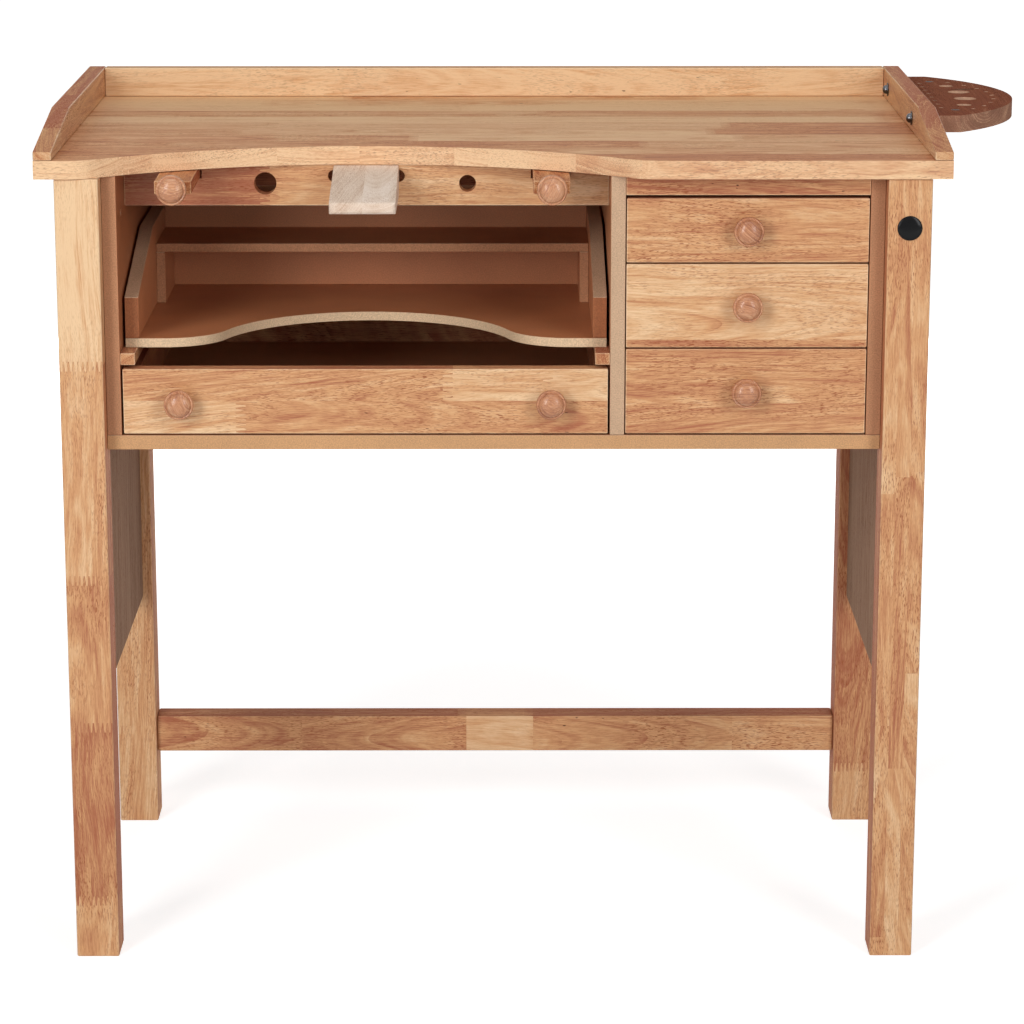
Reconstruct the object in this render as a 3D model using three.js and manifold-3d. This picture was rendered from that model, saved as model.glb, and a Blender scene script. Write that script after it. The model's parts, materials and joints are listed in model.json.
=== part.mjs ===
// A jeweller's bench in solid rubberwood and fibreboard, in millimetres, +Z up.
// While it is being made, X runs from the middle of the worktop to the right, Y from
// the worktop's front edge to the back, and Z up from the floor.
import * as THREE from 'three';
import { mergeVertices } from 'three/addons/utils/BufferGeometryUtils.js';
import Module from 'manifold-3d';

const wasm = await Module();
wasm.setup();

// Clearances and curve fineness
const GLUE_LINE = 0.3;
const SEAT = 0.3;
const ARC_STEPS = 16;
const DRILL_STEPS = 16;
const KNOB_STEPS = 20;
const CURVE_POINTS = 4;
const FACET = 3.5;
const LEAST_SIDES = 10;

// Worktop and its upstands
const WORKTOP_WIDTH = 990;
const WORKTOP_DEPTH = 559;
const WORKTOP_THICKNESS = 20;
const WORK_HEIGHT = 910;
const HOLLOW_DEPTH = 112;
const HOLLOW_MARGIN = 33;
const HOLLOW_BLEND = 50;
const UPSTAND_THICKNESS = 20;
const UPSTAND_HEIGHT = 35;
const UPSTAND_NOSE = 9.4;
const UPSTAND_RAMP = 177;

// Legs, stretcher and end panels
const LEG_WIDTH = 48;
const LEG_DEPTH = 50;
const LEG_SIDE_INSET = 21;
const LEG_FRONT_INSET = 4;
const LEG_REAR_INSET = 30;
const STRETCHER_HEIGHT = 46;
const STRETCHER_DEPTH = 36;
const STRETCHER_LIFT = 89;
const STRETCHER_SETBACK = 10;
const END_PANEL_THICKNESS = 16;
const END_PANEL_HEIGHT = 595;
const END_PANEL_INSET = 20;

// Cabinet
const CABINET_SETBACK = 27;
const PANEL_THICKNESS = 16;
const BACK_THICKNESS = 9;
const BANK_WIDTH = 266;
const RAIL_HEIGHT = 21;
const RAIL_DEPTH = 40;
const DOWEL_HOLE_DIAMETER = 10;
const DOWEL_HOLE_DEPTH = 9;
const DOWEL_HOLE_SETBACK = 48;
const DOWEL_HOLE_DROP = 47;

// Apron under the hollow, with the pull-out arms and the bench pin
const APRON_THICKNESS = 20;
const APRON_HEIGHT = 46;
const APRON_SETBACK = 1;
const ARM_WIDTH = 40;
const ARM_THICKNESS = 14.5;
const ARM_SIDE_PLAY = 1.75;
const ARM_TOP_PLAY = 1.2;
const ARM_WALL_INSET = 64.7;
const ARM_OVERHANG = 3;
const ARM_TAIL_SPACE = 83;
const GUIDE_HEIGHT = 40;
const GUIDE_SPACING = 80;
const HANDPIECE_HOLE_DIAMETER = 25;
const MANDREL_HOLE_DIAMETER = 19;
const APRON_HOLE_OFFSET = 112;
const APRON_HOLE_DROP = 21.5;
const PIN_SLOT_WIDTH = 85;
const PIN_SLOT_HEIGHT = 13.5;
const PIN_SLOT_DROP = 6.5;
const PIN_WIDTH = 72;
const PIN_OVERHANG = 15;
const PIN_TOP_PLAY = 1;
const PIN_ROOT_HEIGHT = 35;
const PIN_NOSE_HEIGHT = 12.5;
const PIN_NOSE_ROUND = 4;
const TENON_LENGTH = 40;

// Drawers
const REVEAL = 1.7;
const TOP_REVEAL = 3.6;
const BANK_SIDE_REVEAL = 1.2;
const WIDE_SIDE_REVEAL = 2.3;
const BOTTOM_DRAWER_HEIGHT = 94.8;
const MIDDLE_DRAWER_HEIGHT = 92.6;
const TOP_DRAWER_HEIGHT = 70.6;
const WIDE_DRAWER_HEIGHT = 72.7;
const DRAWER_FRONT_THICKNESS = 20;
const BOX_SIDE_THICKNESS = 12;
const BOX_INSET = 1;
const BOX_FLOOR_THICKNESS = 5;
const BOX_FLOOR_LIFT = 6;
const BOX_GROOVE = 5;
const BOX_REAR_SPACE = 10;
const RUNNER_WIDTH = 16;
const RUNNER_HEIGHT = 12;
const RUNNER_RISE = 3.5;
const RUNNER_HEADROOM = 1.5;

// Turned knobs
const KNOB_DIAMETER = 33;
const KNOB_LENGTH = 28.5;
const KNOB_HEAD_DEPTH = 16.5;
const KNOB_SHOULDER_DIAMETER = 26.4;
const KNOB_SHOULDER_ROUND = 1;
const KNOB_RIM_DEPTH = 6.6;
const KNOB_BASE_DIAMETER = 21;
const KNOB_NECK_DIAMETER = 16;
const KNOB_BASE_THICKNESS = 3;
const KNOB_DOWEL_DIAMETER = 8;
const KNOB_DOWEL_LENGTH = 12;
const WIDE_KNOB_INSET = 62.4;
const BANK_KNOB_LIFT = 1.5;

// Sliding catch tray
const TRAY_RUNNER_WIDTH = 16;
const TRAY_RUNNER_HEIGHT = 13;
const TRAY_RUNNER_GAP = 4.6;
const TRAY_SIDE_CLEARANCE = 3.2;
const TRAY_SETBACK = 33;
const TRAY_REAR_SPACE = 117;
const TRAY_FLOOR_THICKNESS = 10;
const TRAY_HOLLOW_DEPTH = 157;
const TRAY_HOLLOW_MARGIN = 42;
const TRAY_HOLLOW_BLEND = 70;
const TRAY_SIDE_THICKNESS = 15;
const TRAY_SIDE_HEIGHT = 95;
const TRAY_SIDE_NOSE = 46;
const TRAY_SIDE_RAMP = 185;
const TRAY_BACK_THICKNESS = 12;
const TRAY_SHELF_THICKNESS = 9.5;
const TRAY_SHELF_DEPTH = 118;
const TRAY_SHELF_LIFT = 60;
const TRAY_CLEAT_THICKNESS = 10;

// Tool holder on the right upstand
const HOLDER_THICKNESS = 19;
const HOLDER_LENGTH = 356;
const HOLDER_REACH = 109;
const HOLDER_SHOULDER = 29;
const HOLDER_LIFT = 5.5;
const HOLDER_REAR_INSET = 22;
const PLIER_HOLE_DIAMETER = 26;
const PLIER_HOLE_OFFSET = 30;
const PLIER_HOLE_REACH = 52;
const FILE_HOLE_DIAMETER = 17;
const FILE_HOLE_OFFSET = 86;
const FILE_HOLE_REACH = 44;
const BURR_HOLE_DIAMETER = 5.5;
const BURR_ROW_COUNT = 8;
const BURR_ROW_PITCH = 31.5;
const BURR_ROW_REACH = 15;
const BURR_ARC_COUNT = 9;
const BURR_ARC_PITCH = 32;
const BURR_ARC_MARGIN = 22;
const BOLT_DIAMETER = 6;
const BOLT_LENGTH = 56;
const BOLT_PLAY = 0.3;
const BOLT_OFFSET = 128.5;
const BOLT_WASHER_DIAMETER = 16;
const BOLT_WASHER_THICKNESS = 1.5;
const BOLT_HEAD_DIAMETER = 11;
const BOLT_HEAD_HEIGHT = 5;
const BARREL_NUT_DIAMETER = 10;
const BARREL_NUT_REACH = 29;

// Plain disc on the right front leg
const DISC_DIAMETER = 27;
const DISC_THICKNESS = 2.5;
const DISC_DROP = 54;

// Finishes
const RUBBERWOOD = { color: '#d6a673', roughness: 0.45, metalness: 0 };
const FIBREBOARD = { color: '#b98a5e', roughness: 0.7, metalness: 0 };
const BEECH = { color: '#d9a67e', roughness: 0.4, metalness: 0 };
const PALE_HARDWOOD = { color: '#d8bfa0', roughness: 0.55, metalness: 0 };
const RED_HARDWOOD = { color: '#a5643c', roughness: 0.5, metalness: 0 };
const ZINC_STEEL = { color: '#b9b8b4', roughness: 0.3, metalness: 1 };
const BLACK_ENAMEL = { color: '#17171a', roughness: 0.3, metalness: 0 };

// Levels and planes that the pieces share
const halfWidth = WORKTOP_WIDTH / 2;
const underside = WORK_HEIGHT - WORKTOP_THICKNESS;
const ceiling = underside - GLUE_LINE;
const legOuter = halfWidth - LEG_SIDE_INSET;
const legInner = legOuter - LEG_WIDTH;
const frontLegBack = LEG_FRONT_INSET + LEG_DEPTH;
const rearLegBack = WORKTOP_DEPTH - LEG_REAR_INSET;
const rearLegFront = rearLegBack - LEG_DEPTH;
const cabinetHalf = legInner - GLUE_LINE;
const cabinetBack = rearLegBack - BACK_THICKNESS;
const bankRight = cabinetHalf - PANEL_THICKNESS;
const bankLeft = bankRight - BANK_WIDTH;
const bayLeft = -bankRight;
const bayRight = bankLeft - PANEL_THICKNESS;
const bayCentre = (bayLeft + bayRight) / 2;
const bayHalf = (bayRight - bayLeft) / 2;
const bankCentre = (bankLeft + bankRight) / 2;
const railBottom = ceiling - RAIL_HEIGHT;
const topDrawerBottom = railBottom - TOP_REVEAL - TOP_DRAWER_HEIGHT;
const middleDrawerBottom = topDrawerBottom - REVEAL - MIDDLE_DRAWER_HEIGHT;
const bottomDrawerBottom = middleDrawerBottom - REVEAL - BOTTOM_DRAWER_HEIGHT;
const cabinetFloor = bottomDrawerBottom - REVEAL;
const cabinetUnderside = cabinetFloor - PANEL_THICKNESS;
const wideDrawerTop = bottomDrawerBottom + WIDE_DRAWER_HEIGHT;
const trayRunnerBottom = wideDrawerTop + TRAY_RUNNER_GAP;
const trayFloorBottom = trayRunnerBottom + TRAY_RUNNER_HEIGHT + SEAT;
const trayFloorTop = trayFloorBottom + TRAY_FLOOR_THICKNESS;
const apronFront = HOLLOW_DEPTH + APRON_SETBACK;
const apronBack = apronFront + APRON_THICKNESS;
const armTop = underside - ARM_TOP_PLAY;
const armBottom = armTop - ARM_THICKNESS;
const armOffset = bayHalf - ARM_WALL_INSET;
const slotTop = underside - PIN_SLOT_DROP;
const slotBottom = slotTop - PIN_SLOT_HEIGHT;
const holderFace = halfWidth + GLUE_LINE;
const holderBottom = WORK_HEIGHT + HOLDER_LIFT;
const holderRear = WORKTOP_DEPTH - HOLDER_REAR_INSET;
const holderCentre = holderRear - HOLDER_LENGTH / 2;
const boltLevel = holderBottom + HOLDER_THICKNESS / 2;
const boltPlaces = [holderCentre - BOLT_OFFSET, holderCentre + BOLT_OFFSET];
const frontReach = ARM_OVERHANG + KNOB_LENGTH;
const sideReach = holderFace + HOLDER_REACH;

const bench = new THREE.Group();

// Each sub-part is a named mesh with a material of its own.
function add(group, name, geometry, finish) {
  const mesh = new THREE.Mesh(geometry, new THREE.MeshStandardMaterial(finish));
  mesh.name = name;
  group.add(mesh);
  return mesh;
}

// A board between two planes along each axis, given as [low, high] pairs.
function board(x, y, z) {
  const geometry = new THREE.BoxGeometry(x[1] - x[0], y[1] - y[0], z[1] - z[0]);
  geometry.translate((x[0] + x[1]) / 2, (y[0] + y[1]) / 2, (z[0] + z[1]) / 2);
  return geometry;
}

// An outline drawn in (Y, Z), (X, Z) or (X, Y) and carried along X, Y or Z.
function prism(shape, axis, low, high) {
  const settings = { depth: high - low, bevelEnabled: false, curveSegments: ARC_STEPS };
  const geometry = new THREE.ExtrudeGeometry(shape, settings);
  if (axis === 'x') {
    geometry.applyMatrix4(new THREE.Matrix4().set(0, 0, 1, low, 1, 0, 0, 0, 0, 1, 0, 0, 0, 0, 0, 1));
  } else if (axis === 'y') {
    geometry.applyMatrix4(new THREE.Matrix4().set(1, 0, 0, 0, 0, 0, -1, high, 0, 1, 0, 0, 0, 0, 0, 1));
  } else {
    geometry.translate(0, 0, low);
  }
  return geometry;
}

function outline(points) {
  return new THREE.Shape(points.map(([a, b]) => new THREE.Vector2(a, b)));
}

// A round hole as a many-sided path, with sides of about one facet length.
function roundHole(shape, a, b, diameter) {
  const sides = Math.max(LEAST_SIDES, Math.round(Math.PI * diameter / FACET));
  const corners = Array.from({ length: sides }, (_, i) => {
    const angle = 2 * Math.PI * i / sides;
    return new THREE.Vector2(a + diameter / 2 * Math.cos(angle), b + diameter / 2 * Math.sin(angle));
  });
  shape.holes.push(new THREE.Path(corners));
}

// A drill: a cylinder along one axis that starts at a point and runs a length.
function drill(axis, diameter, start, length) {
  const radius = diameter / 2;
  const geometry = new THREE.CylinderGeometry(radius, radius, length, DRILL_STEPS);
  geometry.translate(0, length / 2, 0);
  if (axis === 'x') geometry.rotateZ(-Math.PI / 2);
  if (axis === 'z') geometry.rotateX(Math.PI / 2);
  geometry.translate(...start);
  return geometry;
}

function solid(geometry) {
  const bare = geometry.clone();
  bare.deleteAttribute('normal');
  bare.deleteAttribute('uv');
  const welded = mergeVertices(bare);
  const vertProperties = new Float32Array(welded.attributes.position.array);
  const triVerts = new Uint32Array(welded.index.array);
  return new wasm.Manifold(new wasm.Mesh({ numProp: 3, vertProperties, triVerts }));
}

function cut(geometry, ...tools) {
  const body = tools.reduce((rest, tool) => rest.subtract(solid(tool)), solid(geometry));
  const { vertProperties, triVerts } = body.getMesh();
  const result = new THREE.BufferGeometry();
  result.setAttribute('position', new THREE.BufferAttribute(vertProperties, 3));
  result.setIndex(new THREE.BufferAttribute(triVerts, 1));
  result.computeVertexNormals();
  return result;
}

// A rectangle whose front edge is scooped to a shallow arc that blends into the flats.
// span is half the width of the scoop, measured where the flats begin.
function scoopedPlan(left, right, front, back, centre, span, depth, blend) {
  const radius = (span * span / depth + depth) / 2 - blend;
  const lean = Math.atan2(radius + blend - depth, span);
  const shape = new THREE.Shape();
  shape.moveTo(left, front);
  shape.lineTo(centre - span, front);
  shape.absarc(centre - span, front + blend, blend, -Math.PI / 2, -lean, false);
  shape.absarc(centre, front + depth - radius, radius, Math.PI - lean, lean, true);
  shape.absarc(centre + span, front + blend, blend, lean - Math.PI, -Math.PI / 2, false);
  shape.lineTo(right, front);
  shape.lineTo(right, back);
  shape.lineTo(left, back);
  return shape;
}

// A profile of (radius, Y) points, drawn from the back to the front, turned about Y.
function turned(profile, steps) {
  return new THREE.LatheGeometry(profile.getPoints(CURVE_POINTS).reverse(), steps);
}

// A knob turned about Y, its head towards the front and its dowel behind the origin.
function knob(group, name, x, y, z) {
  const profile = new THREE.Path();
  const headRadius = KNOB_DIAMETER / 2;
  const neckRadius = KNOB_NECK_DIAMETER / 2;
  const neckEnd = KNOB_LENGTH - KNOB_HEAD_DEPTH;
  profile.moveTo(0, KNOB_DOWEL_LENGTH);
  profile.lineTo(KNOB_DOWEL_DIAMETER / 2, KNOB_DOWEL_LENGTH);
  profile.lineTo(KNOB_DOWEL_DIAMETER / 2, -GLUE_LINE);
  profile.lineTo(KNOB_BASE_DIAMETER / 2, -GLUE_LINE);
  profile.lineTo(KNOB_BASE_DIAMETER / 2, -KNOB_BASE_THICKNESS);
  profile.lineTo(neckRadius, -(KNOB_BASE_THICKNESS + neckEnd) / 2);
  profile.quadraticCurveTo(neckRadius, -neckEnd, KNOB_SHOULDER_DIAMETER / 2, -neckEnd);
  profile.quadraticCurveTo(headRadius, -neckEnd - KNOB_SHOULDER_ROUND, headRadius, -neckEnd - KNOB_RIM_DEPTH);
  profile.quadraticCurveTo(headRadius, -KNOB_LENGTH, 0, -KNOB_LENGTH);
  const geometry = turned(profile, KNOB_STEPS);
  geometry.translate(x, y, z);
  add(group, name, geometry, BEECH);
}

function knobHole(x, y, z) {
  const diameter = KNOB_DOWEL_DIAMETER + 2 * SEAT;
  return drill('y', diameter, [x, y - SEAT, z], KNOB_DOWEL_LENGTH + 2 * SEAT);
}

// Worktop with the scooped front, and the low boards round its edge
function worktop() {
  const span = bayCentre + halfWidth - HOLLOW_MARGIN;
  const plan = scoopedPlan(
    -halfWidth, halfWidth, 0, WORKTOP_DEPTH, bayCentre, span, HOLLOW_DEPTH, HOLLOW_BLEND);
  add(bench, 'worktop', prism(plan, 'z', underside, WORK_HEIGHT), RUBBERWOOD);
}

function upstands() {
  const base = WORK_HEIGHT + GLUE_LINE;
  const top = WORK_HEIGHT + UPSTAND_HEIGHT;
  const inner = halfWidth - UPSTAND_THICKNESS;
  const side = outline([
    [0, base],
    [WORKTOP_DEPTH, base],
    [WORKTOP_DEPTH, top],
    [UPSTAND_RAMP, top],
    [0, WORK_HEIGHT + UPSTAND_NOSE],
  ]);
  add(bench, 'left_upstand', prism(side, 'x', -halfWidth, -inner), RUBBERWOOD);
  const boltHoles = boltPlaces.map((y) => (
    drill('x', BOLT_DIAMETER + 2 * BOLT_PLAY, [inner - SEAT, y, boltLevel], UPSTAND_THICKNESS + 2 * SEAT)));
  add(bench, 'right_upstand', cut(prism(side, 'x', inner, halfWidth), ...boltHoles), RUBBERWOOD);
  const reach = inner - GLUE_LINE;
  const depth = [WORKTOP_DEPTH - UPSTAND_THICKNESS, WORKTOP_DEPTH];
  add(bench, 'back_upstand', board([-reach, reach], depth, [base, top]), RUBBERWOOD);
}

// Legs, the rear stretcher and the panels that close the two ends
function understructure() {
  const rows = { front: [LEG_FRONT_INSET, frontLegBack], rear: [rearLegFront, rearLegBack] };
  for (const [row, depth] of Object.entries(rows)) {
    add(bench, `${row}_left_leg`, board([-legOuter, -legInner], depth, [0, ceiling]), RUBBERWOOD);
    add(bench, `${row}_right_leg`, board([legInner, legOuter], depth, [0, ceiling]), RUBBERWOOD);
  }
  const stretcherFront = rearLegFront + STRETCHER_SETBACK;
  const stretcher = board(
    [-cabinetHalf, cabinetHalf],
    [stretcherFront, stretcherFront + STRETCHER_DEPTH],
    [STRETCHER_LIFT, STRETCHER_LIFT + STRETCHER_HEIGHT]);
  add(bench, 'rear_stretcher', stretcher, RUBBERWOOD);
  const outer = legOuter - END_PANEL_INSET;
  const inner = outer - END_PANEL_THICKNESS;
  const depth = [frontLegBack + GLUE_LINE, rearLegFront - GLUE_LINE];
  const height = [underside - END_PANEL_HEIGHT, ceiling];
  add(bench, 'left_end_panel', board([-outer, -inner], depth, height), FIBREBOARD);
  add(bench, 'right_end_panel', board([inner, outer], depth, height), FIBREBOARD);
}

// Cabinet that hangs between the legs
function cabinet() {
  const standing = [cabinetFloor + GLUE_LINE, ceiling];
  const depth = [CABINET_SETBACK, cabinetBack - GLUE_LINE];
  const width = [-cabinetHalf, cabinetHalf];
  const bottom = board(width, [CABINET_SETBACK, rearLegBack], [cabinetUnderside, cabinetFloor]);
  add(bench, 'cabinet_bottom', bottom, FIBREBOARD);
  add(bench, 'cabinet_back', board(width, [cabinetBack, rearLegBack], standing), FIBREBOARD);
  const dowelHole = drill(
    'x', DOWEL_HOLE_DIAMETER,
    [bayLeft - DOWEL_HOLE_DEPTH, CABINET_SETBACK + DOWEL_HOLE_SETBACK, underside - DOWEL_HOLE_DROP],
    DOWEL_HOLE_DEPTH + SEAT);
  const leftSide = cut(board([-cabinetHalf, bayLeft], depth, standing), dowelHole);
  add(bench, 'cabinet_left_side', leftSide, FIBREBOARD);
  add(bench, 'cabinet_right_side', board([bankRight, cabinetHalf], depth, standing), FIBREBOARD);
  add(bench, 'cabinet_divider', board([bayRight, bankLeft], depth, standing), FIBREBOARD);
  const rail = board(
    [bankLeft + GLUE_LINE, bankRight - GLUE_LINE],
    [CABINET_SETBACK, CABINET_SETBACK + RAIL_DEPTH],
    [railBottom, ceiling]);
  add(bench, 'bank_top_rail', rail, RUBBERWOOD);
}

// A cross rail of the bay, notched from above where the two arms run through it.
function notchedRail(bottom) {
  const left = bayLeft + GLUE_LINE;
  const right = bayRight - GLUE_LINE;
  const notchBottom = armBottom - SEAT;
  const notchHalf = ARM_WIDTH / 2 + ARM_SIDE_PLAY;
  const edge = [[left, bottom], [right, bottom], [right, ceiling]];
  for (const centre of [bayCentre + armOffset, bayCentre - armOffset]) {
    edge.push([centre + notchHalf, ceiling], [centre + notchHalf, notchBottom]);
    edge.push([centre - notchHalf, notchBottom], [centre - notchHalf, ceiling]);
  }
  edge.push([left, ceiling]);
  return outline(edge);
}

function apron() {
  const face = notchedRail(underside - APRON_HEIGHT);
  const holeLevel = underside - APRON_HOLE_DROP;
  roundHole(face, bayCentre - APRON_HOLE_OFFSET, holeLevel, HANDPIECE_HOLE_DIAMETER);
  roundHole(face, bayCentre + APRON_HOLE_OFFSET, holeLevel, MANDREL_HOLE_DIAMETER);
  const slot = new THREE.Path();
  const slotRound = PIN_SLOT_HEIGHT / 2;
  const slotEnd = PIN_SLOT_WIDTH / 2 - slotRound;
  const slotMiddle = (slotTop + slotBottom) / 2;
  slot.absarc(bayCentre + slotEnd, slotMiddle, slotRound, Math.PI / 2, -Math.PI / 2, true);
  slot.absarc(bayCentre - slotEnd, slotMiddle, slotRound, -Math.PI / 2, Math.PI / 2, true);
  face.holes.push(slot);
  add(bench, 'apron', prism(face, 'y', apronFront, apronBack), RUBBERWOOD);
  const guideFront = apronBack + GUIDE_SPACING;
  const guide = prism(notchedRail(underside - GUIDE_HEIGHT), 'y', guideFront, guideFront + APRON_THICKNESS);
  add(bench, 'arm_guide_rail', guide, RUBBERWOOD);
}

// Flat arms that pull out from under the worktop, each with a knob on its end
function arms() {
  const depth = [-ARM_OVERHANG, cabinetBack - ARM_TAIL_SPACE];
  const level = (armTop + armBottom) / 2;
  for (const [side, sign] of [['left', -1], ['right', 1]]) {
    const centre = bayCentre + sign * armOffset;
    const width = [centre - ARM_WIDTH / 2, centre + ARM_WIDTH / 2];
    const slat = board(width, depth, [armBottom, armTop]);
    add(bench, `${side}_arm`, cut(slat, knobHole(centre, -ARM_OVERHANG, level)), RUBBERWOOD);
    knob(bench, `${side}_arm_knob`, centre, -ARM_OVERHANG, level);
  }
}

// Bench pin: a wedge with a tenon that pushes into the apron's slot
function benchPin() {
  const top = underside - PIN_TOP_PLAY;
  const bottom = top - PIN_ROOT_HEIGHT;
  const noseTop = bottom + PIN_NOSE_HEIGHT;
  const root = apronFront - SEAT;
  const tenonEnd = apronFront + TENON_LENGTH;
  const side = new THREE.Shape();
  side.moveTo(-PIN_OVERHANG, bottom);
  side.lineTo(root, bottom);
  side.lineTo(root, slotBottom + SEAT);
  side.lineTo(tenonEnd, slotBottom + SEAT);
  side.lineTo(tenonEnd, slotTop - SEAT);
  side.lineTo(root, slotTop - SEAT);
  side.lineTo(root, top);
  side.lineTo(-PIN_OVERHANG + PIN_NOSE_ROUND, noseTop);
  side.quadraticCurveTo(-PIN_OVERHANG, noseTop, -PIN_OVERHANG, noseTop - PIN_NOSE_ROUND);
  const half = PIN_WIDTH / 2;
  add(bench, 'bench_pin', prism(side, 'x', bayCentre - half, bayCentre + half), PALE_HARDWOOD);
}

// A drawer: a front with its knobs, a frame of two sides and a back, and a floor let
// into a groove round all four. It is made about the middle of its front's lower edge.
function drawer(name, centre, frontBottom, width, height, boxBottom, knobPlaces, knobLevel) {
  const group = new THREE.Group();
  group.position.set(centre, CABINET_SETBACK, frontBottom);
  const half = width / 2;
  const outer = half - BOX_INSET;
  const inner = outer - BOX_SIDE_THICKNESS;
  const boxFront = DRAWER_FRONT_THICKNESS + GLUE_LINE;
  const boxBack = cabinetBack - BOX_REAR_SPACE - CABINET_SETBACK;
  const boxTop = height - (RUNNER_HEIGHT - RUNNER_RISE + RUNNER_HEADROOM);
  const insideBack = boxBack - BOX_SIDE_THICKNESS;
  const panelHalf = inner + BOX_GROOVE;
  const panelDepth = [DRAWER_FRONT_THICKNESS - BOX_GROOVE, insideBack + BOX_GROOVE];
  const panelBottom = boxBottom + BOX_FLOOR_LIFT;
  const panelLevel = [panelBottom, panelBottom + BOX_FLOOR_THICKNESS];
  const loosen = ([low, high]) => [low - SEAT, high + SEAT];
  const groove = board(loosen([-panelHalf, panelHalf]), loosen(panelDepth), loosen(panelLevel));

  const face = board([-half, half], [0, DRAWER_FRONT_THICKNESS], [0, height]);
  const knobHoles = knobPlaces.map((x) => knobHole(x, 0, knobLevel));
  add(group, `${name}_front`, cut(face, groove, ...knobHoles), RUBBERWOOD);

  const plan = outline([
    [-outer, boxFront],
    [-inner, boxFront],
    [-inner, insideBack],
    [inner, insideBack],
    [inner, boxFront],
    [outer, boxFront],
    [outer, boxBack],
    [-outer, boxBack],
  ]);
  add(group, `${name}_frame`, cut(prism(plan, 'z', boxBottom, boxTop), groove), RUBBERWOOD);
  add(group, `${name}_floor`, board([-panelHalf, panelHalf], panelDepth, panelLevel), FIBREBOARD);

  knobPlaces.forEach((x, i) => {
    const place = knobPlaces.length > 1 ? `_${['left', 'right'][i]}` : '';
    knob(group, `${name}${place}_knob`, x, 0, knobLevel);
  });
  bench.add(group);
}

function drawers() {
  const restOnFloor = SEAT - REVEAL;
  const restOnRunner = RUNNER_RISE + SEAT;
  const bankWidth = BANK_WIDTH - 2 * BANK_SIDE_REVEAL;
  const bank = [
    ['bottom_drawer', bottomDrawerBottom, BOTTOM_DRAWER_HEIGHT, restOnFloor],
    ['middle_drawer', middleDrawerBottom, MIDDLE_DRAWER_HEIGHT, restOnRunner],
    ['top_drawer', topDrawerBottom, TOP_DRAWER_HEIGHT, restOnRunner],
  ];
  for (const [name, frontBottom, height, boxBottom] of bank) {
    const knobLevel = height / 2 + BANK_KNOB_LIFT;
    drawer(name, bankCentre, frontBottom, bankWidth, height, boxBottom, [0], knobLevel);
  }
  const wideWidth = 2 * (bayHalf - WIDE_SIDE_REVEAL);
  const knobPlace = wideWidth / 2 - WIDE_KNOB_INSET;
  drawer(
    'wide_drawer', bayCentre, bottomDrawerBottom, wideWidth, WIDE_DRAWER_HEIGHT, restOnFloor,
    [-knobPlace, knobPlace], WIDE_DRAWER_HEIGHT / 2);
}

// Battens on the divider and the right side, under the box sides of the upper drawers
function drawerRunners() {
  const front = CABINET_SETBACK + DRAWER_FRONT_THICKNESS + SEAT;
  const depth = [front, cabinetBack - GLUE_LINE];
  const left = [bankLeft + GLUE_LINE, bankLeft + GLUE_LINE + RUNNER_WIDTH];
  const right = [bankRight - GLUE_LINE - RUNNER_WIDTH, bankRight - GLUE_LINE];
  for (const [name, frontBottom] of [['middle', middleDrawerBottom], ['top', topDrawerBottom]]) {
    const top = frontBottom + RUNNER_RISE;
    const height = [top - RUNNER_HEIGHT, top];
    add(bench, `${name}_left_runner`, board(left, depth, height), RUBBERWOOD);
    add(bench, `${name}_right_runner`, board(right, depth, height), RUBBERWOOD);
  }
}

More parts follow.
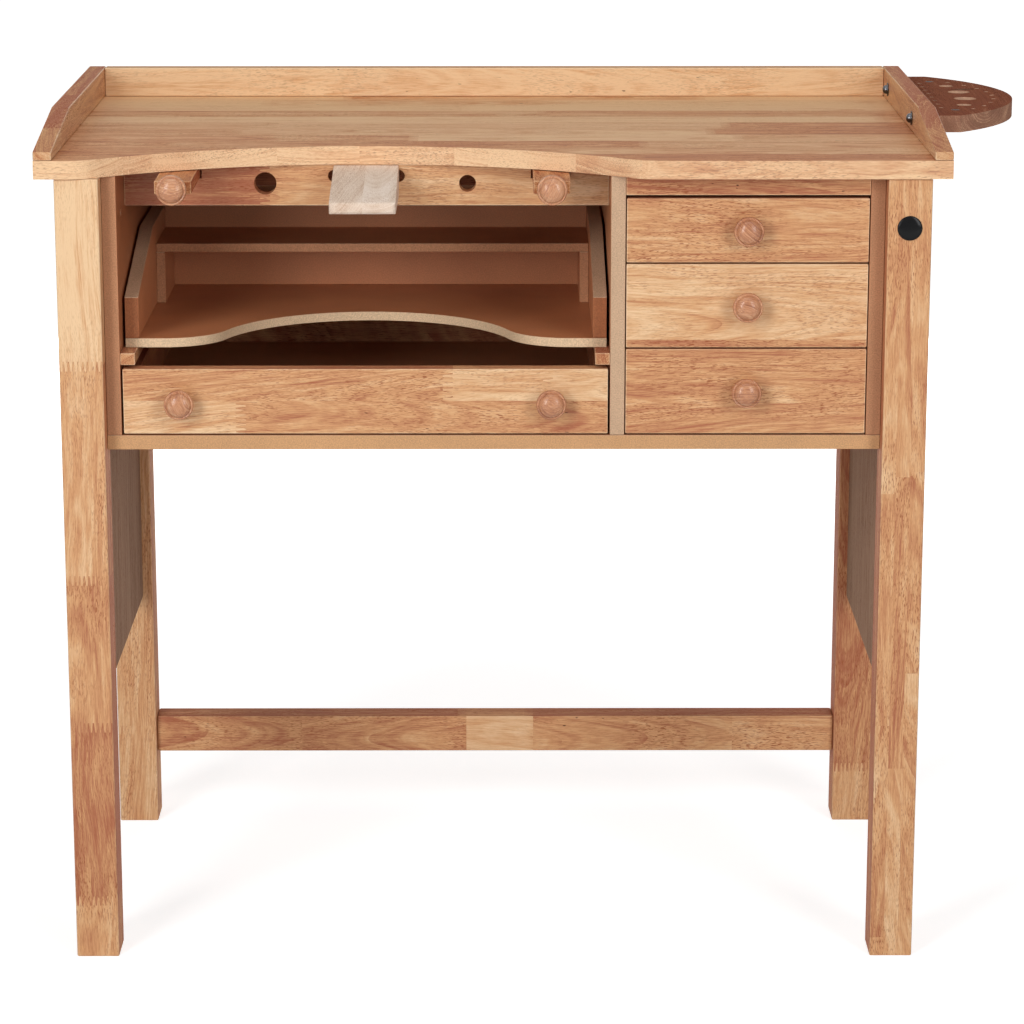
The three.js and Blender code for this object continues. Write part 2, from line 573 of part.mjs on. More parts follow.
// Catch tray that slides on two battens above the wide drawer
function tray() {
  const depth = [CABINET_SETBACK, cabinetBack - GLUE_LINE];
  const runner = [trayRunnerBottom, trayRunnerBottom + TRAY_RUNNER_HEIGHT];
  const runnerLeft = bayLeft + GLUE_LINE;
  const runnerRight = bayRight - GLUE_LINE;
  const leftBatten = board([runnerLeft, runnerLeft + TRAY_RUNNER_WIDTH], depth, runner);
  const rightBatten = board([runnerRight - TRAY_RUNNER_WIDTH, runnerRight], depth, runner);
  add(bench, 'left_tray_runner', leftBatten, RUBBERWOOD);
  add(bench, 'right_tray_runner', rightBatten, RUBBERWOOD);

  const half = bayHalf - TRAY_SIDE_CLEARANCE;
  const left = bayCentre - half;
  const right = bayCentre + half;
  const front = CABINET_SETBACK + TRAY_SETBACK;
  const back = cabinetBack - TRAY_REAR_SPACE;
  const span = half - TRAY_HOLLOW_MARGIN;
  const plan = scoopedPlan(
    left, right, front, back, bayCentre, span, TRAY_HOLLOW_DEPTH, TRAY_HOLLOW_BLEND);
  add(bench, 'tray_floor', prism(plan, 'z', trayFloorBottom, trayFloorTop), FIBREBOARD);

  const base = trayFloorTop + GLUE_LINE;
  const top = trayFloorTop + TRAY_SIDE_HEIGHT;
  const side = outline([
    [front, base],
    [back, base],
    [back, top],
    [front + TRAY_SIDE_RAMP, top],
    [front, trayFloorTop + TRAY_SIDE_NOSE],
  ]);
  add(bench, 'tray_left_side', prism(side, 'x', left, left + TRAY_SIDE_THICKNESS), FIBREBOARD);
  add(bench, 'tray_right_side', prism(side, 'x', right - TRAY_SIDE_THICKNESS, right), FIBREBOARD);

  const innerLeft = left + TRAY_SIDE_THICKNESS + GLUE_LINE;
  const innerRight = right - TRAY_SIDE_THICKNESS - GLUE_LINE;
  const backFace = back - TRAY_BACK_THICKNESS;
  add(bench, 'tray_back', board([innerLeft, innerRight], [backFace, back], [base, top]), FIBREBOARD);

  const shelfDepth = [backFace - GLUE_LINE - TRAY_SHELF_DEPTH, backFace - GLUE_LINE];
  const shelfBottom = trayFloorTop + TRAY_SHELF_LIFT;
  const shelfHeight = [shelfBottom, shelfBottom + TRAY_SHELF_THICKNESS];
  add(bench, 'tray_shelf', board([innerLeft, innerRight], shelfDepth, shelfHeight), FIBREBOARD);
  const cleatHeight = [base, shelfBottom - GLUE_LINE];
  const leftCleat = board([innerLeft, innerLeft + TRAY_CLEAT_THICKNESS], shelfDepth, cleatHeight);
  const rightCleat = board([innerRight - TRAY_CLEAT_THICKNESS, innerRight], shelfDepth, cleatHeight);
  add(bench, 'tray_left_cleat', leftCleat, FIBREBOARD);
  add(bench, 'tray_right_cleat', rightCleat, FIBREBOARD);
}

// Half-moon plate with graded holes, bolted through the right upstand into barrel nuts
function toolHolder() {
  const half = HOLDER_LENGTH / 2;
  const swell = HOLDER_REACH - HOLDER_SHOULDER;
  const radius = (half * half + swell * swell) / (2 * swell);
  const arcCentre = holderFace + HOLDER_REACH - radius;
  const sweep = Math.asin(half / radius);
  const plan = new THREE.Shape();
  plan.moveTo(holderFace, holderCentre + half);
  plan.lineTo(holderFace, holderCentre - half);
  plan.lineTo(holderFace + HOLDER_SHOULDER, holderCentre - half);
  plan.absarc(arcCentre, holderCentre, radius, -sweep, sweep, false);
  for (const sign of [-1, 1]) {
    const plierY = holderCentre + sign * PLIER_HOLE_OFFSET;
    const fileY = holderCentre + sign * FILE_HOLE_OFFSET;
    roundHole(plan, holderFace + PLIER_HOLE_REACH, plierY, PLIER_HOLE_DIAMETER);
    roundHole(plan, holderFace + FILE_HOLE_REACH, fileY, FILE_HOLE_DIAMETER);
  }
  for (let i = 0; i < BURR_ROW_COUNT; i += 1) {
    const y = holderCentre + (i - (BURR_ROW_COUNT - 1) / 2) * BURR_ROW_PITCH;
    roundHole(plan, holderFace + BURR_ROW_REACH, y, BURR_HOLE_DIAMETER);
  }
  const burrRadius = radius - BURR_ARC_MARGIN;
  for (let i = 0; i < BURR_ARC_COUNT; i += 1) {
    const angle = (i - (BURR_ARC_COUNT - 1) / 2) * BURR_ARC_PITCH / burrRadius;
    const x = arcCentre + burrRadius * Math.cos(angle);
    const y = holderCentre + burrRadius * Math.sin(angle);
    roundHole(plan, x, y, BURR_HOLE_DIAMETER);
  }
  const holderTop = holderBottom + HOLDER_THICKNESS;
  const boltHole = BOLT_DIAMETER + 2 * BOLT_PLAY;
  const boltInner = halfWidth - UPSTAND_THICKNESS;
  const boltEnd = boltInner + BOLT_LENGTH;
  const nutX = holderFace + BARREL_NUT_REACH;
  const tools = boltPlaces.flatMap((y) => [
    drill('x', boltHole, [holderFace - SEAT, y, boltLevel], boltEnd - holderFace + 2 * SEAT),
    drill('z', BARREL_NUT_DIAMETER + 2 * SEAT, [nutX, y, holderBottom - SEAT], HOLDER_THICKNESS + 2 * SEAT),
  ]);
  add(bench, 'tool_holder', cut(prism(plan, 'z', holderBottom, holderTop), ...tools), RED_HARDWOOD);

  boltPlaces.forEach((y, i) => {
    const place = ['front', 'rear'][i];
    const washerFace = -GLUE_LINE - BOLT_WASHER_THICKNESS;
    const profile = new THREE.Path();
    profile.moveTo(0, BOLT_LENGTH);
    profile.lineTo(BOLT_DIAMETER / 2, BOLT_LENGTH);
    profile.lineTo(BOLT_DIAMETER / 2, -GLUE_LINE);
    profile.lineTo(BOLT_WASHER_DIAMETER / 2, -GLUE_LINE);
    profile.lineTo(BOLT_WASHER_DIAMETER / 2, washerFace);
    profile.lineTo(BOLT_HEAD_DIAMETER / 2, washerFace);
    profile.quadraticCurveTo(
      BOLT_HEAD_DIAMETER / 2, washerFace - BOLT_HEAD_HEIGHT, 0, washerFace - BOLT_HEAD_HEIGHT);
    const bolt = turned(profile, DRILL_STEPS);
    bolt.rotateZ(-Math.PI / 2);
    bolt.translate(boltInner, y, boltLevel);
    add(bench, `holder_${place}_bolt`, bolt, ZINC_STEEL);
    const barrel = drill('z', BARREL_NUT_DIAMETER, [nutX, y, holderBottom], HOLDER_THICKNESS);
    const thread = drill('x', boltHole, [nutX - BARREL_NUT_DIAMETER, y, boltLevel], 2 * BARREL_NUT_DIAMETER);
    add(bench, `holder_${place}_barrel_nut`, cut(barrel, thread), ZINC_STEEL);
  });
}

// Domed plain disc on the front of the right leg
function legDisc() {
  const radius = DISC_DIAMETER / 2;
  const profile = new THREE.Path();
  profile.moveTo(0, -GLUE_LINE);
  profile.lineTo(radius, -GLUE_LINE);
  profile.quadraticCurveTo(radius, -DISC_THICKNESS, 0, -DISC_THICKNESS);
  const disc = turned(profile, DRILL_STEPS);
  disc.translate((legInner + legOuter) / 2, LEG_FRONT_INSET, underside - DISC_DROP);
  add(bench, 'leg_disc', disc, BLACK_ENAMEL);
}

worktop();
upstands();
understructure();
cabinet();
apron();
arms();
benchPin();
drawers();
drawerRunners();
tray();
toolHolder();
legDisc();

// The origin is on the floor, under the middle of the whole bench's box.
bench.position.set((halfWidth - sideReach) / 2, (frontReach - WORKTOP_DEPTH) / 2, 0);

export default bench;
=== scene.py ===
# %% [markdown]
# # A jeweller's bench
# A jeweller sits at the hollow in the worktop, files and saws on the little wedge of wood that
# sticks out of it, and catches every filing in the tray below. The bench is joinery: rubberwood
# boards glued up from short staves, and a cabinet of fibreboard that hangs between the legs.
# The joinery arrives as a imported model, with every board in its place and every drawer on its
# slide. This lesson gives it a camera, light, edges that a hand has eased, and wood.

# %% Load the bench
import json
import math
import random

import bmesh
import bpy
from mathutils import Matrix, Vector


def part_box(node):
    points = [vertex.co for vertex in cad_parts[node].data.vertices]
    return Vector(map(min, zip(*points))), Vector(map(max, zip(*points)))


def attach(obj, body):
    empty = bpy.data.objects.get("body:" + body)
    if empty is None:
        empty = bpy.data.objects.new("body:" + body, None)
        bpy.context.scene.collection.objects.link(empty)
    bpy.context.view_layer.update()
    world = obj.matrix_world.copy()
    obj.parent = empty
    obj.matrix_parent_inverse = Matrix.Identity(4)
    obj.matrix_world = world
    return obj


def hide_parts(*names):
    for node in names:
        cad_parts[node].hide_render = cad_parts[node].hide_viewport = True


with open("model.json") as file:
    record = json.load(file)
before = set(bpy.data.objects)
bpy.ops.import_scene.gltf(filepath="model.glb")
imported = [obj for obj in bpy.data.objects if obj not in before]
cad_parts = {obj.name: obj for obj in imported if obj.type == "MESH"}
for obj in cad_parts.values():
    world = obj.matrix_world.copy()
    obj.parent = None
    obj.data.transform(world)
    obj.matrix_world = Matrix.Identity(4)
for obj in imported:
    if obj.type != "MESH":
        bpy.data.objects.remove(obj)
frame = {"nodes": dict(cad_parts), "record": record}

MM_PER_M = 1000
scene = bpy.context.scene
boards = frame["nodes"]
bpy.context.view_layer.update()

# %% [markdown]
# ## The camera
# The camera stands nearly four metres away and half a metre above the worktop, with a long lens,
# so the legs stay almost parallel. A camera can be placed by eye or worked out from corners whose
# real places are known. Here it was fitted to the corners of the worktop, drawers and feet in the
# photograph, and its place is given from the middle of the worktop's front edge.

# %% Camera
EYE_BEFORE_EDGE = 3.809
EYE_HEIGHT = 1.469
EYE_TO_RIGHT = 0.0096
LENS_MM = 125.4
LOOK_DOWN = math.radians(13.97)
LOOK_RIGHT = math.radians(0.156)

worktop_low, worktop_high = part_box("worktop")
edge_middle = Vector(((worktop_low.x + worktop_high.x) / 2, worktop_low.y, 0))

camera = bpy.data.objects.new("camera", bpy.data.cameras.new("camera"))
camera.data.lens = LENS_MM
camera.location = edge_middle + Vector((EYE_TO_RIGHT, -EYE_BEFORE_EDGE, EYE_HEIGHT))
camera.rotation_euler = (math.pi / 2 - LOOK_DOWN, 0, -LOOK_RIGHT)
scene.collection.objects.link(camera)
scene.camera = camera
scene.view_settings.view_transform = "Standard"
print("camera at", [round(c, 3) for c in camera.location])

# %% [markdown]
# ## Three small helpers
# Shaders work in linear light, but a colour picked from a screen is an sRGB hex value, so one
# function turns the one into the other. Another adds a node: it sets the node's own settings
# first, then fills each socket with a value or a link. With it, a material reads from top to
# bottom like a recipe. The third spells out a pair of limits for a node that stretches the range
# between them to run from none to full.

# %% Colours and nodes
def linear(colour):
    parts = [int(colour[i:i + 2], 16) / 255 for i in (1, 3, 5)]
    return [p / 12.92 if p <= 0.04045 else ((p + 0.055) / 1.055) ** 2.4 for p in parts] + [1]


def node(tree, kind, sockets=None, **settings):
    made = tree.nodes.new(kind)
    for name, value in settings.items():
        setattr(made, name, value)
    for key, value in (sockets or {}).items():
        if isinstance(key, int):
            socket = made.inputs[key]
        else:
            socket = next(s for s in made.inputs if s.enabled and s.name == key)
        if isinstance(value, bpy.types.Node):
            value = next(s for s in value.outputs if s.enabled)
        if isinstance(value, bpy.types.NodeSocket):
            tree.links.new(value, socket)
        else:
            socket.default_value = value
    return made


def span(limits):
    return {"From Min": limits[0], "From Max": limits[1]}


print("white is", linear("#ffffff"), "and mid grey is", round(linear("#808080")[0], 3))

# %% [markdown]
# ## The studio
# The bench stands in front of white paper, lit by two tall soft boxes, one on each side of the
# camera, and a weak one overhead. That is why the fronts are bright, the tops are darker, and the
# inside of the tray falls into deep red brown. A low box behind the bench lights its back.
# Reflections leave that box out, because seen from the front it would put a grey shine on every
# board.
# The white comes from the world itself, which shows full white to the camera and to reflections,
# but lights the wood far less than that. The floor does the same. It glows a little less near the
# bench, so that the shadows of the feet still show on it.

# %% World
AMBIENT = 0.1


def in_view(tree):
    """One for what the camera sees, straight or by way of a shine or a glass, and nought for light."""
    ray = node(tree, "ShaderNodeLightPath")
    shiny = node(tree, "ShaderNodeMath", {
        0: ray.outputs["Is Glossy Ray"], 1: ray.outputs["Is Transmission Ray"]}, operation="MAXIMUM")
    return node(tree, "ShaderNodeMath", {
        0: ray.outputs["Is Camera Ray"], 1: shiny}, operation="MAXIMUM")


world = bpy.data.worlds.new("white_paper")
scene.world = world
world.use_nodes = True
tree = world.node_tree
tree.nodes.clear()
level = node(tree, "ShaderNodeMapRange", {"Value": in_view(tree), "To Min": AMBIENT, "To Max": 1})
paper = node(tree, "ShaderNodeBackground", {"Color": linear("#ffffff"), "Strength": level})
node(tree, "ShaderNodeOutputWorld", {"Surface": paper})
print("ambient light", AMBIENT)

# %% Floor
FLOOR_REACH = 40
FLOOR_TONE = "#dcdcdc"
GLOW_NEAR, GLOW_FAR = 0.68, 1
GLOW_REACH = (0.9, 2.6)


def new_material(name):
    """An empty material, its tree, and the node that tells where on its piece a point lies."""
    made = bpy.data.materials.new(name)
    made.use_nodes = True
    tree = made.node_tree
    tree.nodes.clear()
    return made, tree, node(tree, "ShaderNodeTexCoord")


floor_mesh = bpy.data.meshes.new("floor")
ways = (-1, -1), (1, -1), (1, 1), (-1, 1)
floor_mesh.from_pydata([(x * FLOOR_REACH, y * FLOOR_REACH, 0) for x, y in ways], [], [(0, 1, 2, 3)])
floor = bpy.data.objects.new("floor", floor_mesh)
scene.collection.objects.link(floor)

floor_paper, tree, where = new_material("matt_white_paper")
away = node(tree, "ShaderNodeVectorMath", {0: where.outputs["Object"]}, operation="LENGTH")
glow_here = node(tree, "ShaderNodeMapRange", {
    "Value": away.outputs["Value"], **span(GLOW_REACH),
    "To Min": GLOW_NEAR, "To Max": GLOW_FAR})
glow_level = node(tree, "ShaderNodeMath", {0: in_view(tree), 1: glow_here}, operation="MULTIPLY")
matt = node(tree, "ShaderNodeBsdfDiffuse", {"Color": linear(FLOOR_TONE)})
glow = node(tree, "ShaderNodeEmission", {"Color": linear("#ffffff"), "Strength": glow_level})
both = node(tree, "ShaderNodeAddShader", {0: matt, 1: glow})
node(tree, "ShaderNodeOutputMaterial", {"Surface": both})
floor_mesh.materials.append(floor_paper)
print("floor reaches", FLOOR_REACH, "m each way")

# %% Soft boxes
SOFT_BOXES = {
    # name: (place in metres, width, height, watts, seen in reflections)
    "left_soft_box": ((-2.2, -3.5, 2.0), 1.3, 2.8, 97, True),
    "right_soft_box": ((2.2, -3.5, 2.0), 1.3, 2.8, 70, True),
    "overhead_fill": ((0, -0.6, 3.4), 2.4, 2.4, 22, True),
    "back_soft_box": ((0, 3.4, 0.6), 3.0, 1.1, 75, False),
}
AIM = Vector((0, 0, 0.65))

for name, (place, width, height, watts, shines) in SOFT_BOXES.items():
    lamp = bpy.data.lights.new(name, "AREA")
    lamp.shape = "RECTANGLE"
    lamp.size = width
    lamp.size_y = height
    lamp.energy = watts
    box = bpy.data.objects.new(name, lamp)
    box.location = place
    box.rotation_euler = (AIM - Vector(place)).to_track_quat("-Z", "Y").to_euler()
    box.visible_camera = False
    box.visible_glossy = shines
    scene.collection.objects.link(box)
print("lamps:", ", ".join(SOFT_BOXES))

# %% [markdown]
# ## Wood as a solid
# Rubberwood is a pale tan wood with a pink cast. Its rings are faint, and its pores are long and
# large enough to see as fine red-brown dashes. A flat picture of boards would not fit round an
# edge. So the wood is made as a solid: every point gets its colour from where it lies in the log.
# A face cut along the log then shows dashes and arches, and the sawn end of the same board shows
# dots and arcs, with no seam between them.
# The log's own axes are the grain's: X runs along the fibres, and Y and Z across them, all in
# millimetres. Each stave comes from another log, and its own number shifts every pattern in it.

# %% The log's axes and chance
LOGS_APART = 200

wood = bpy.data.node_groups.new("solid_wood", "ShaderNodeTree")
WOOD_SOCKETS = {
    "Grain": "Vector", "Facing": "Vector", "Tone": "Float", "Stave": "Float", "Worn": "Float",
    "Edge": "Float", "Pale": "Color", "Middle": "Color", "Dark": "Color", "Pore": "Color",
    "Roughness": "Float",
}
WOOD_RESULTS = {"Color": "Color", "Roughness": "Float", "Normal": "Vector"}
for way, sockets in (("INPUT", WOOD_SOCKETS), ("OUTPUT", WOOD_RESULTS)):
    for name, kind in sockets.items():
        wood.interface.new_socket(name, in_out=way, socket_type="NodeSocket" + kind)

given = node(wood, "NodeGroupInput")
dice = node(wood, "ShaderNodeTexWhiteNoise", {"W": given.outputs["Stave"]}, noise_dimensions="1D")
chances = node(wood, "ShaderNodeSeparateXYZ", {0: dice.outputs["Color"]})
shift = node(wood, "ShaderNodeVectorMath", {
    0: dice.outputs["Color"], "Scale": LOGS_APART}, operation="SCALE")
spot = node(wood, "ShaderNodeSeparateXYZ", {0: given.outputs["Grain"]})


def by_chance(chance, low, high):
    """A number between these two that each stave draws for itself."""
    return node(wood, "ShaderNodeMapRange", {"Value": chance, "To Min": low, "To Max": high})


def streaks(place, along, across, detail=2):
    """Noise drawn out along the fibres, with features of these lengths in millimetres."""
    stretch = (1 / along, 1 / across, 1 / across)
    point = node(wood, "ShaderNodeVectorMath", {
        0: place, 1: stretch, 2: shift}, operation="MULTIPLY_ADD")
    return node(wood, "ShaderNodeTexNoise", {"Vector": point, "Scale": 1, "Detail": detail})


print("wood takes", ", ".join(WOOD_SOCKETS))

# %% [markdown]
# ### Grain that wanders
# No tree grows straight and no saw follows it exactly. So each stave's fibres lean a few degrees
# to its edge and sway a little on the way. Everything that comes later is drawn in this bent
# space, and rings, pores and fibres then bend together.

# %% Lean and sway
LEAN = 0.07
SWAY_MM = 7
SWAY_REACH_MM = (170, 55)

lean = by_chance(dice.outputs["Value"], -LEAN, LEAN)
leaning = node(wood, "ShaderNodeMath", {
    0: spot.outputs["X"], 1: lean, 2: spot.outputs["Y"]}, operation="MULTIPLY_ADD")
sway = streaks(given.outputs["Grain"], *SWAY_REACH_MM)
side = node(wood, "ShaderNodeMath", {0: sway, 1: 2 * SWAY_MM, 2: leaning}, operation="MULTIPLY_ADD")
fibres = node(wood, "ShaderNodeCombineXYZ", {
    "X": spot.outputs["X"], "Y": side, "Z": spot.outputs["Z"]})
print("grain sways by", SWAY_MM, "mm")

# %% [markdown]
# ### Rings
# A ring is a shell round the pith, so its number is the distance from the pith over the ring's
# width. The pith lies somewhere beside the stave and the log tapers, and that alone draws the
# arches of a board cut near the middle and the straight lines of one cut far from it. Within a
# ring the wood darkens slowly and then stops short at a thin line. The lines fade in and out along
# the stave.

# %% Rings
PITH_SIDE_MM = 40
PITH_DEPTH_MM = (8, 60)
RING_MM = (3.5, 9)
TAPER = 0.06
LATE_WOOD_POWER = 7
FADE_MM, FADE_LEVELS = (160, 16), (0.42, 0.62)

pith_side = by_chance(chances.outputs["X"], -PITH_SIDE_MM, PITH_SIDE_MM)
pith_depth = by_chance(chances.outputs["Y"], *PITH_DEPTH_MM)
beside = node(wood, "ShaderNodeMath", {0: side, 1: pith_side}, operation="SUBTRACT")
below = node(wood, "ShaderNodeMath", {0: spot.outputs["Z"], 1: pith_depth}, operation="SUBTRACT")
from_pith = node(wood, "ShaderNodeCombineXYZ", {"X": beside, "Y": below})
shell = node(wood, "ShaderNodeVectorMath", {0: from_pith}, operation="LENGTH").outputs["Value"]
taper = by_chance(chances.outputs["Z"], -TAPER, TAPER)
shell = node(wood, "ShaderNodeMath", {
    0: spot.outputs["X"], 1: taper, 2: shell}, operation="MULTIPLY_ADD")
layers = node(wood, "ShaderNodeCombineXYZ", {"X": spot.outputs["X"], "Y": shell})
ring_width = by_chance(chances.outputs["X"], *RING_MM)
ring = node(wood, "ShaderNodeMath", {0: shell, 1: ring_width}, operation="DIVIDE")
in_ring = node(wood, "ShaderNodeMath", {0: ring}, operation="FRACT")
late_wood = node(wood, "ShaderNodeMath", {0: in_ring, 1: LATE_WOOD_POWER}, operation="POWER")
ring_strength = node(wood, "ShaderNodeMapRange", {
    "Value": streaks(fibres, *FADE_MM), **span(FADE_LEVELS)})
ring_line = node(wood, "ShaderNodeMath", {0: late_wood, 1: ring_strength}, operation="MULTIPLY")
print("rings of", RING_MM, "mm")

# %% [markdown]
# ### Bands, strands, fibres and pores
# Bands and strands are layers of the tree too, so they are drawn along the shells and arch with
# them. Stripes are broader, and follow the fibres from one end of a stave to the other. Fibres are
# finer than a pixel of the picture, so they are drawn about a millimetre wide, coarser than life,
# to show at all. Pores are a quarter of a millimetre wide and a few long. They too are drawn about
# three times too wide. They crowd together in some layers and are nearly gone in others, and a pale
# stave has fewer. A few staves have flecks as well, where the tree healed round a twig.
# All of these are noise. A narrow range of its levels, stretched, cuts it into separate marks.

# %% Bands, strands, fibres, pores and flecks
STRIPE_MM, BAND_MM, STRAND_MM = (420, 17), (240, 7), (60, 1.4)
FIBRE_MM, PORE_MM, FLECK_MM = (22, 0.9), (6, 0.8), (8, 2.2)
CROWD_MM = (130, 11)
PORE_LEVELS, CROWD_LEVELS, FLECK_LEVELS = (0.54, 0.64), (0.4, 0.6), (0.83, 0.88)
FEWEST_PORES = 0.25
PALE_TONES, PALE_PORES = (0.1, 0.5), 0.35
FLECKED = 0.86

stripe = streaks(fibres, *STRIPE_MM)
band = streaks(layers, *BAND_MM)
strand = streaks(layers, *STRAND_MM, detail=3)
fibre = streaks(fibres, *FIBRE_MM)
pore = node(wood, "ShaderNodeMapRange", {
    "Value": streaks(fibres, *PORE_MM, detail=1), **span(PORE_LEVELS)},
    interpolation_type="SMOOTHSTEP")
crowd = node(wood, "ShaderNodeMapRange", {
    "Value": streaks(layers, *CROWD_MM), **span(CROWD_LEVELS), "To Min": FEWEST_PORES})
pores = node(wood, "ShaderNodeMath", {0: pore, 1: crowd}, operation="MULTIPLY")
many = node(wood, "ShaderNodeMapRange", {
    "Value": given.outputs["Tone"], **span(PALE_TONES), "To Min": PALE_PORES})
pores = node(wood, "ShaderNodeMath", {0: pores, 1: many}, operation="MULTIPLY")
flecked = node(wood, "ShaderNodeMath", {0: chances.outputs["Z"], 1: FLECKED}, operation="GREATER_THAN")
fleck = node(wood, "ShaderNodeMapRange", {
    "Value": streaks(fibres, *FLECK_MM, detail=0), **span(FLECK_LEVELS), "To Max": flecked})
print("pores of", PORE_MM, "mm, flecks of", FLECK_MM, "mm")

# %% [markdown]
# ### Colour, lacquer and relief
# All the patterns push one number, the tone, from pale to dark, so that a darker streak is redder
# too, as it is in the wood. Pores are darker still. The sawn end drinks the lacquer and stays darker
# and duller. The narrow edge of a board is duller too, and darker as painted shade on the tops and
# sides that the lamps light less. The faces have the full satin gloss. Where a corner was sanded
# again, the wood is paler and dry, and dust fills the pores; on the arrises this paleness is partly
# a painted highlight, and on the tool holder's walls it is painted light. Open pores leave tiny
# dents as well, and that is what stops the lacquer looking like plastic.
# The direction that a face looks in, from 0 across an axis to 1 along it, tells an end from a face.

# %% Colour
SHARES = ((stripe, 0.6), (band, 0.55), (strand, 1.1), (fibre, 0.95))
# The edge share darkens the narrow edges of boards as painted shade.
RING_SHARE, EDGE_SHADE_SHARE = 0.35, 0.35
# The wear share, the dry tone and the filled share make worn places paler: real wear, a painted highlight
# on the arrises, and painted light on the tool holder's walls.
PORE_SHARE, END_SHARE, WEAR_AND_LIGHT_SHARE = 0.8, 0.15, 0.8
FLECK_TONE, DRY_AND_LIT_TONE = "#4a2212", "#f6e6cc"
DRY_AND_LIT_SHARE, FILLED_AND_LIT_SHARE = 0.35, 0.6
NOISE_MIDDLE, MIDDLE_TONE = 0.5, 0.5
END_FACING = (0.6, 0.95)

tone = given.outputs["Tone"]
for pattern, share in SHARES:
    centred = node(wood, "ShaderNodeMath", {0: pattern, 1: NOISE_MIDDLE}, operation="SUBTRACT")
    tone = node(wood, "ShaderNodeMath", {0: centred, 1: share, 2: tone}, operation="MULTIPLY_ADD")
marks = (ring_line, RING_SHARE), (given.outputs["Edge"], EDGE_SHADE_SHARE), (given.outputs["Worn"], -WEAR_AND_LIGHT_SHARE)
for mark, share in marks:
    tone = node(wood, "ShaderNodeMath", {0: mark, 1: share, 2: tone}, operation="MULTIPLY_ADD")
lower = node(wood, "ShaderNodeMapRange", {"Value": tone, "From Max": MIDDLE_TONE})
upper = node(wood, "ShaderNodeMapRange", {"Value": tone, "From Min": MIDDLE_TONE})

facing = node(wood, "ShaderNodeSeparateXYZ", {0: given.outputs["Facing"]})
end_on = node(wood, "ShaderNodeMath", {0: facing.outputs["X"]}, operation="ABSOLUTE")
end_grain = node(wood, "ShaderNodeMapRange", {
    "Value": end_on, **span(END_FACING)}, interpolation_type="SMOOTHSTEP")
end_shade = node(wood, "ShaderNodeMath", {0: end_grain, 1: END_SHARE}, operation="MULTIPLY")
open_share = node(wood, "ShaderNodeMapRange", {
    "Value": given.outputs["Worn"], "To Min": PORE_SHARE, "To Max": PORE_SHARE * (1 - FILLED_AND_LIT_SHARE)})
shade = node(wood, "ShaderNodeMath", {0: pores, 1: open_share, 2: end_shade}, operation="MULTIPLY_ADD")
dry_and_lit = node(wood, "ShaderNodeMath", {0: given.outputs["Worn"], 1: DRY_AND_LIT_SHARE}, operation="MULTIPLY")
coats = (
    (lower, given.outputs["Middle"]), (upper, given.outputs["Dark"]), (shade, given.outputs["Pore"]),
    (fleck, linear(FLECK_TONE)), (dry_and_lit, linear(DRY_AND_LIT_TONE)))
colour = given.outputs["Pale"]
for share, coat in coats:
    colour = node(wood, "ShaderNodeMix", {"Factor": share, "A": colour, "B": coat}, data_type="RGBA")
print("wood has", len(SHARES), "patterns beside its rings and pores")

# %% Lacquer and relief
PORE_ROUGH, END_ROUGH, EDGE_ROUGH = 0.2, 0.35, 0.35
FIBRE_RELIEF, RELIEF_STRENGTH = 0.4, 0.5
PORE_DEPTH_M = 0.00015

dull = given.outputs["Roughness"]
for mark, share in ((pores, PORE_ROUGH), (end_grain, END_ROUGH), (given.outputs["Edge"], EDGE_ROUGH)):
    dull = node(wood, "ShaderNodeMath", {0: mark, 1: share, 2: dull}, operation="MULTIPLY_ADD")
height = node(wood, "ShaderNodeMath", {0: fibre, 1: FIBRE_RELIEF}, operation="MULTIPLY")
height = node(wood, "ShaderNodeMath", {0: height, 1: pores}, operation="SUBTRACT")
relief = node(wood, "ShaderNodeBump", {
    "Strength": RELIEF_STRENGTH, "Distance": PORE_DEPTH_M, "Height": height})
node(wood, "NodeGroupOutput", {"Color": colour, "Roughness": dull, "Normal": relief})
print("solid wood has", len(wood.nodes), "nodes")

# %% [markdown]
# ## Boards glued up from staves
# Rubber trees give short, narrow timber, so every board is glued up. Staves are joined end to end
# with a comb of tapered fingers, and the long strips are glued side by side. Each stave keeps its
# own tone, and that patchwork is what the eye takes for this wood.
# The colours are those of the sanded wood under a satin lacquer, which warms them and leaves the
# faces with a soft shine.

# %% Lacquered wood
RUBBERWOOD = {"name": "lacquered_rubberwood", "Pale": "#e8c49a", "Middle": "#d19c6d",
              "Dark": "#a96647", "Pore": "#8f4623", "Roughness": 0.32, "Gloss": 0.3}
LACQUER_IOR = 1.5
WOOD_COLOURS = ("Pale", "Middle", "Dark", "Pore")


def wood_surface(tree, species, grain, facing, tone, stave, wear_and_light, edge):
    """Ends a material: the wood at this place in its log, under a satin lacquer."""
    log = node(tree, "ShaderNodeGroup", {
        "Grain": grain, "Facing": facing, "Tone": tone, "Stave": stave, "Worn": wear_and_light, "Edge": edge,
        "Roughness": species["Roughness"],
        **{colour: linear(species[colour]) for colour in WOOD_COLOURS}}, node_tree=wood)
    shader = node(tree, "ShaderNodeBsdfPrincipled", {
        "Base Color": log.outputs["Color"], "Roughness": log.outputs["Roughness"],
        "Normal": log.outputs["Normal"], "IOR": LACQUER_IOR, "Specular IOR Level": species["Gloss"]})
    node(tree, "ShaderNodeOutputMaterial", {"Surface": shader})


print("wood is finished as", RUBBERWOOD["name"])

# %% [markdown]
# ### Worn arrises with a painted highlight
# Hands and rags rub the lacquer off an arris, the line where two faces meet. The paler arris is
# partly that wear and partly a painted highlight along the eased edge. A point lies near an arris
# when it is close to two faces of the board's box at once, so the second smallest of its three
# depths below them tells how near it is.

# %% Worn arrises with a painted highlight
WORN_AND_HIGHLIT_MM = 1.6
EDGE_WEAR_AND_HIGHLIGHT = 0.4


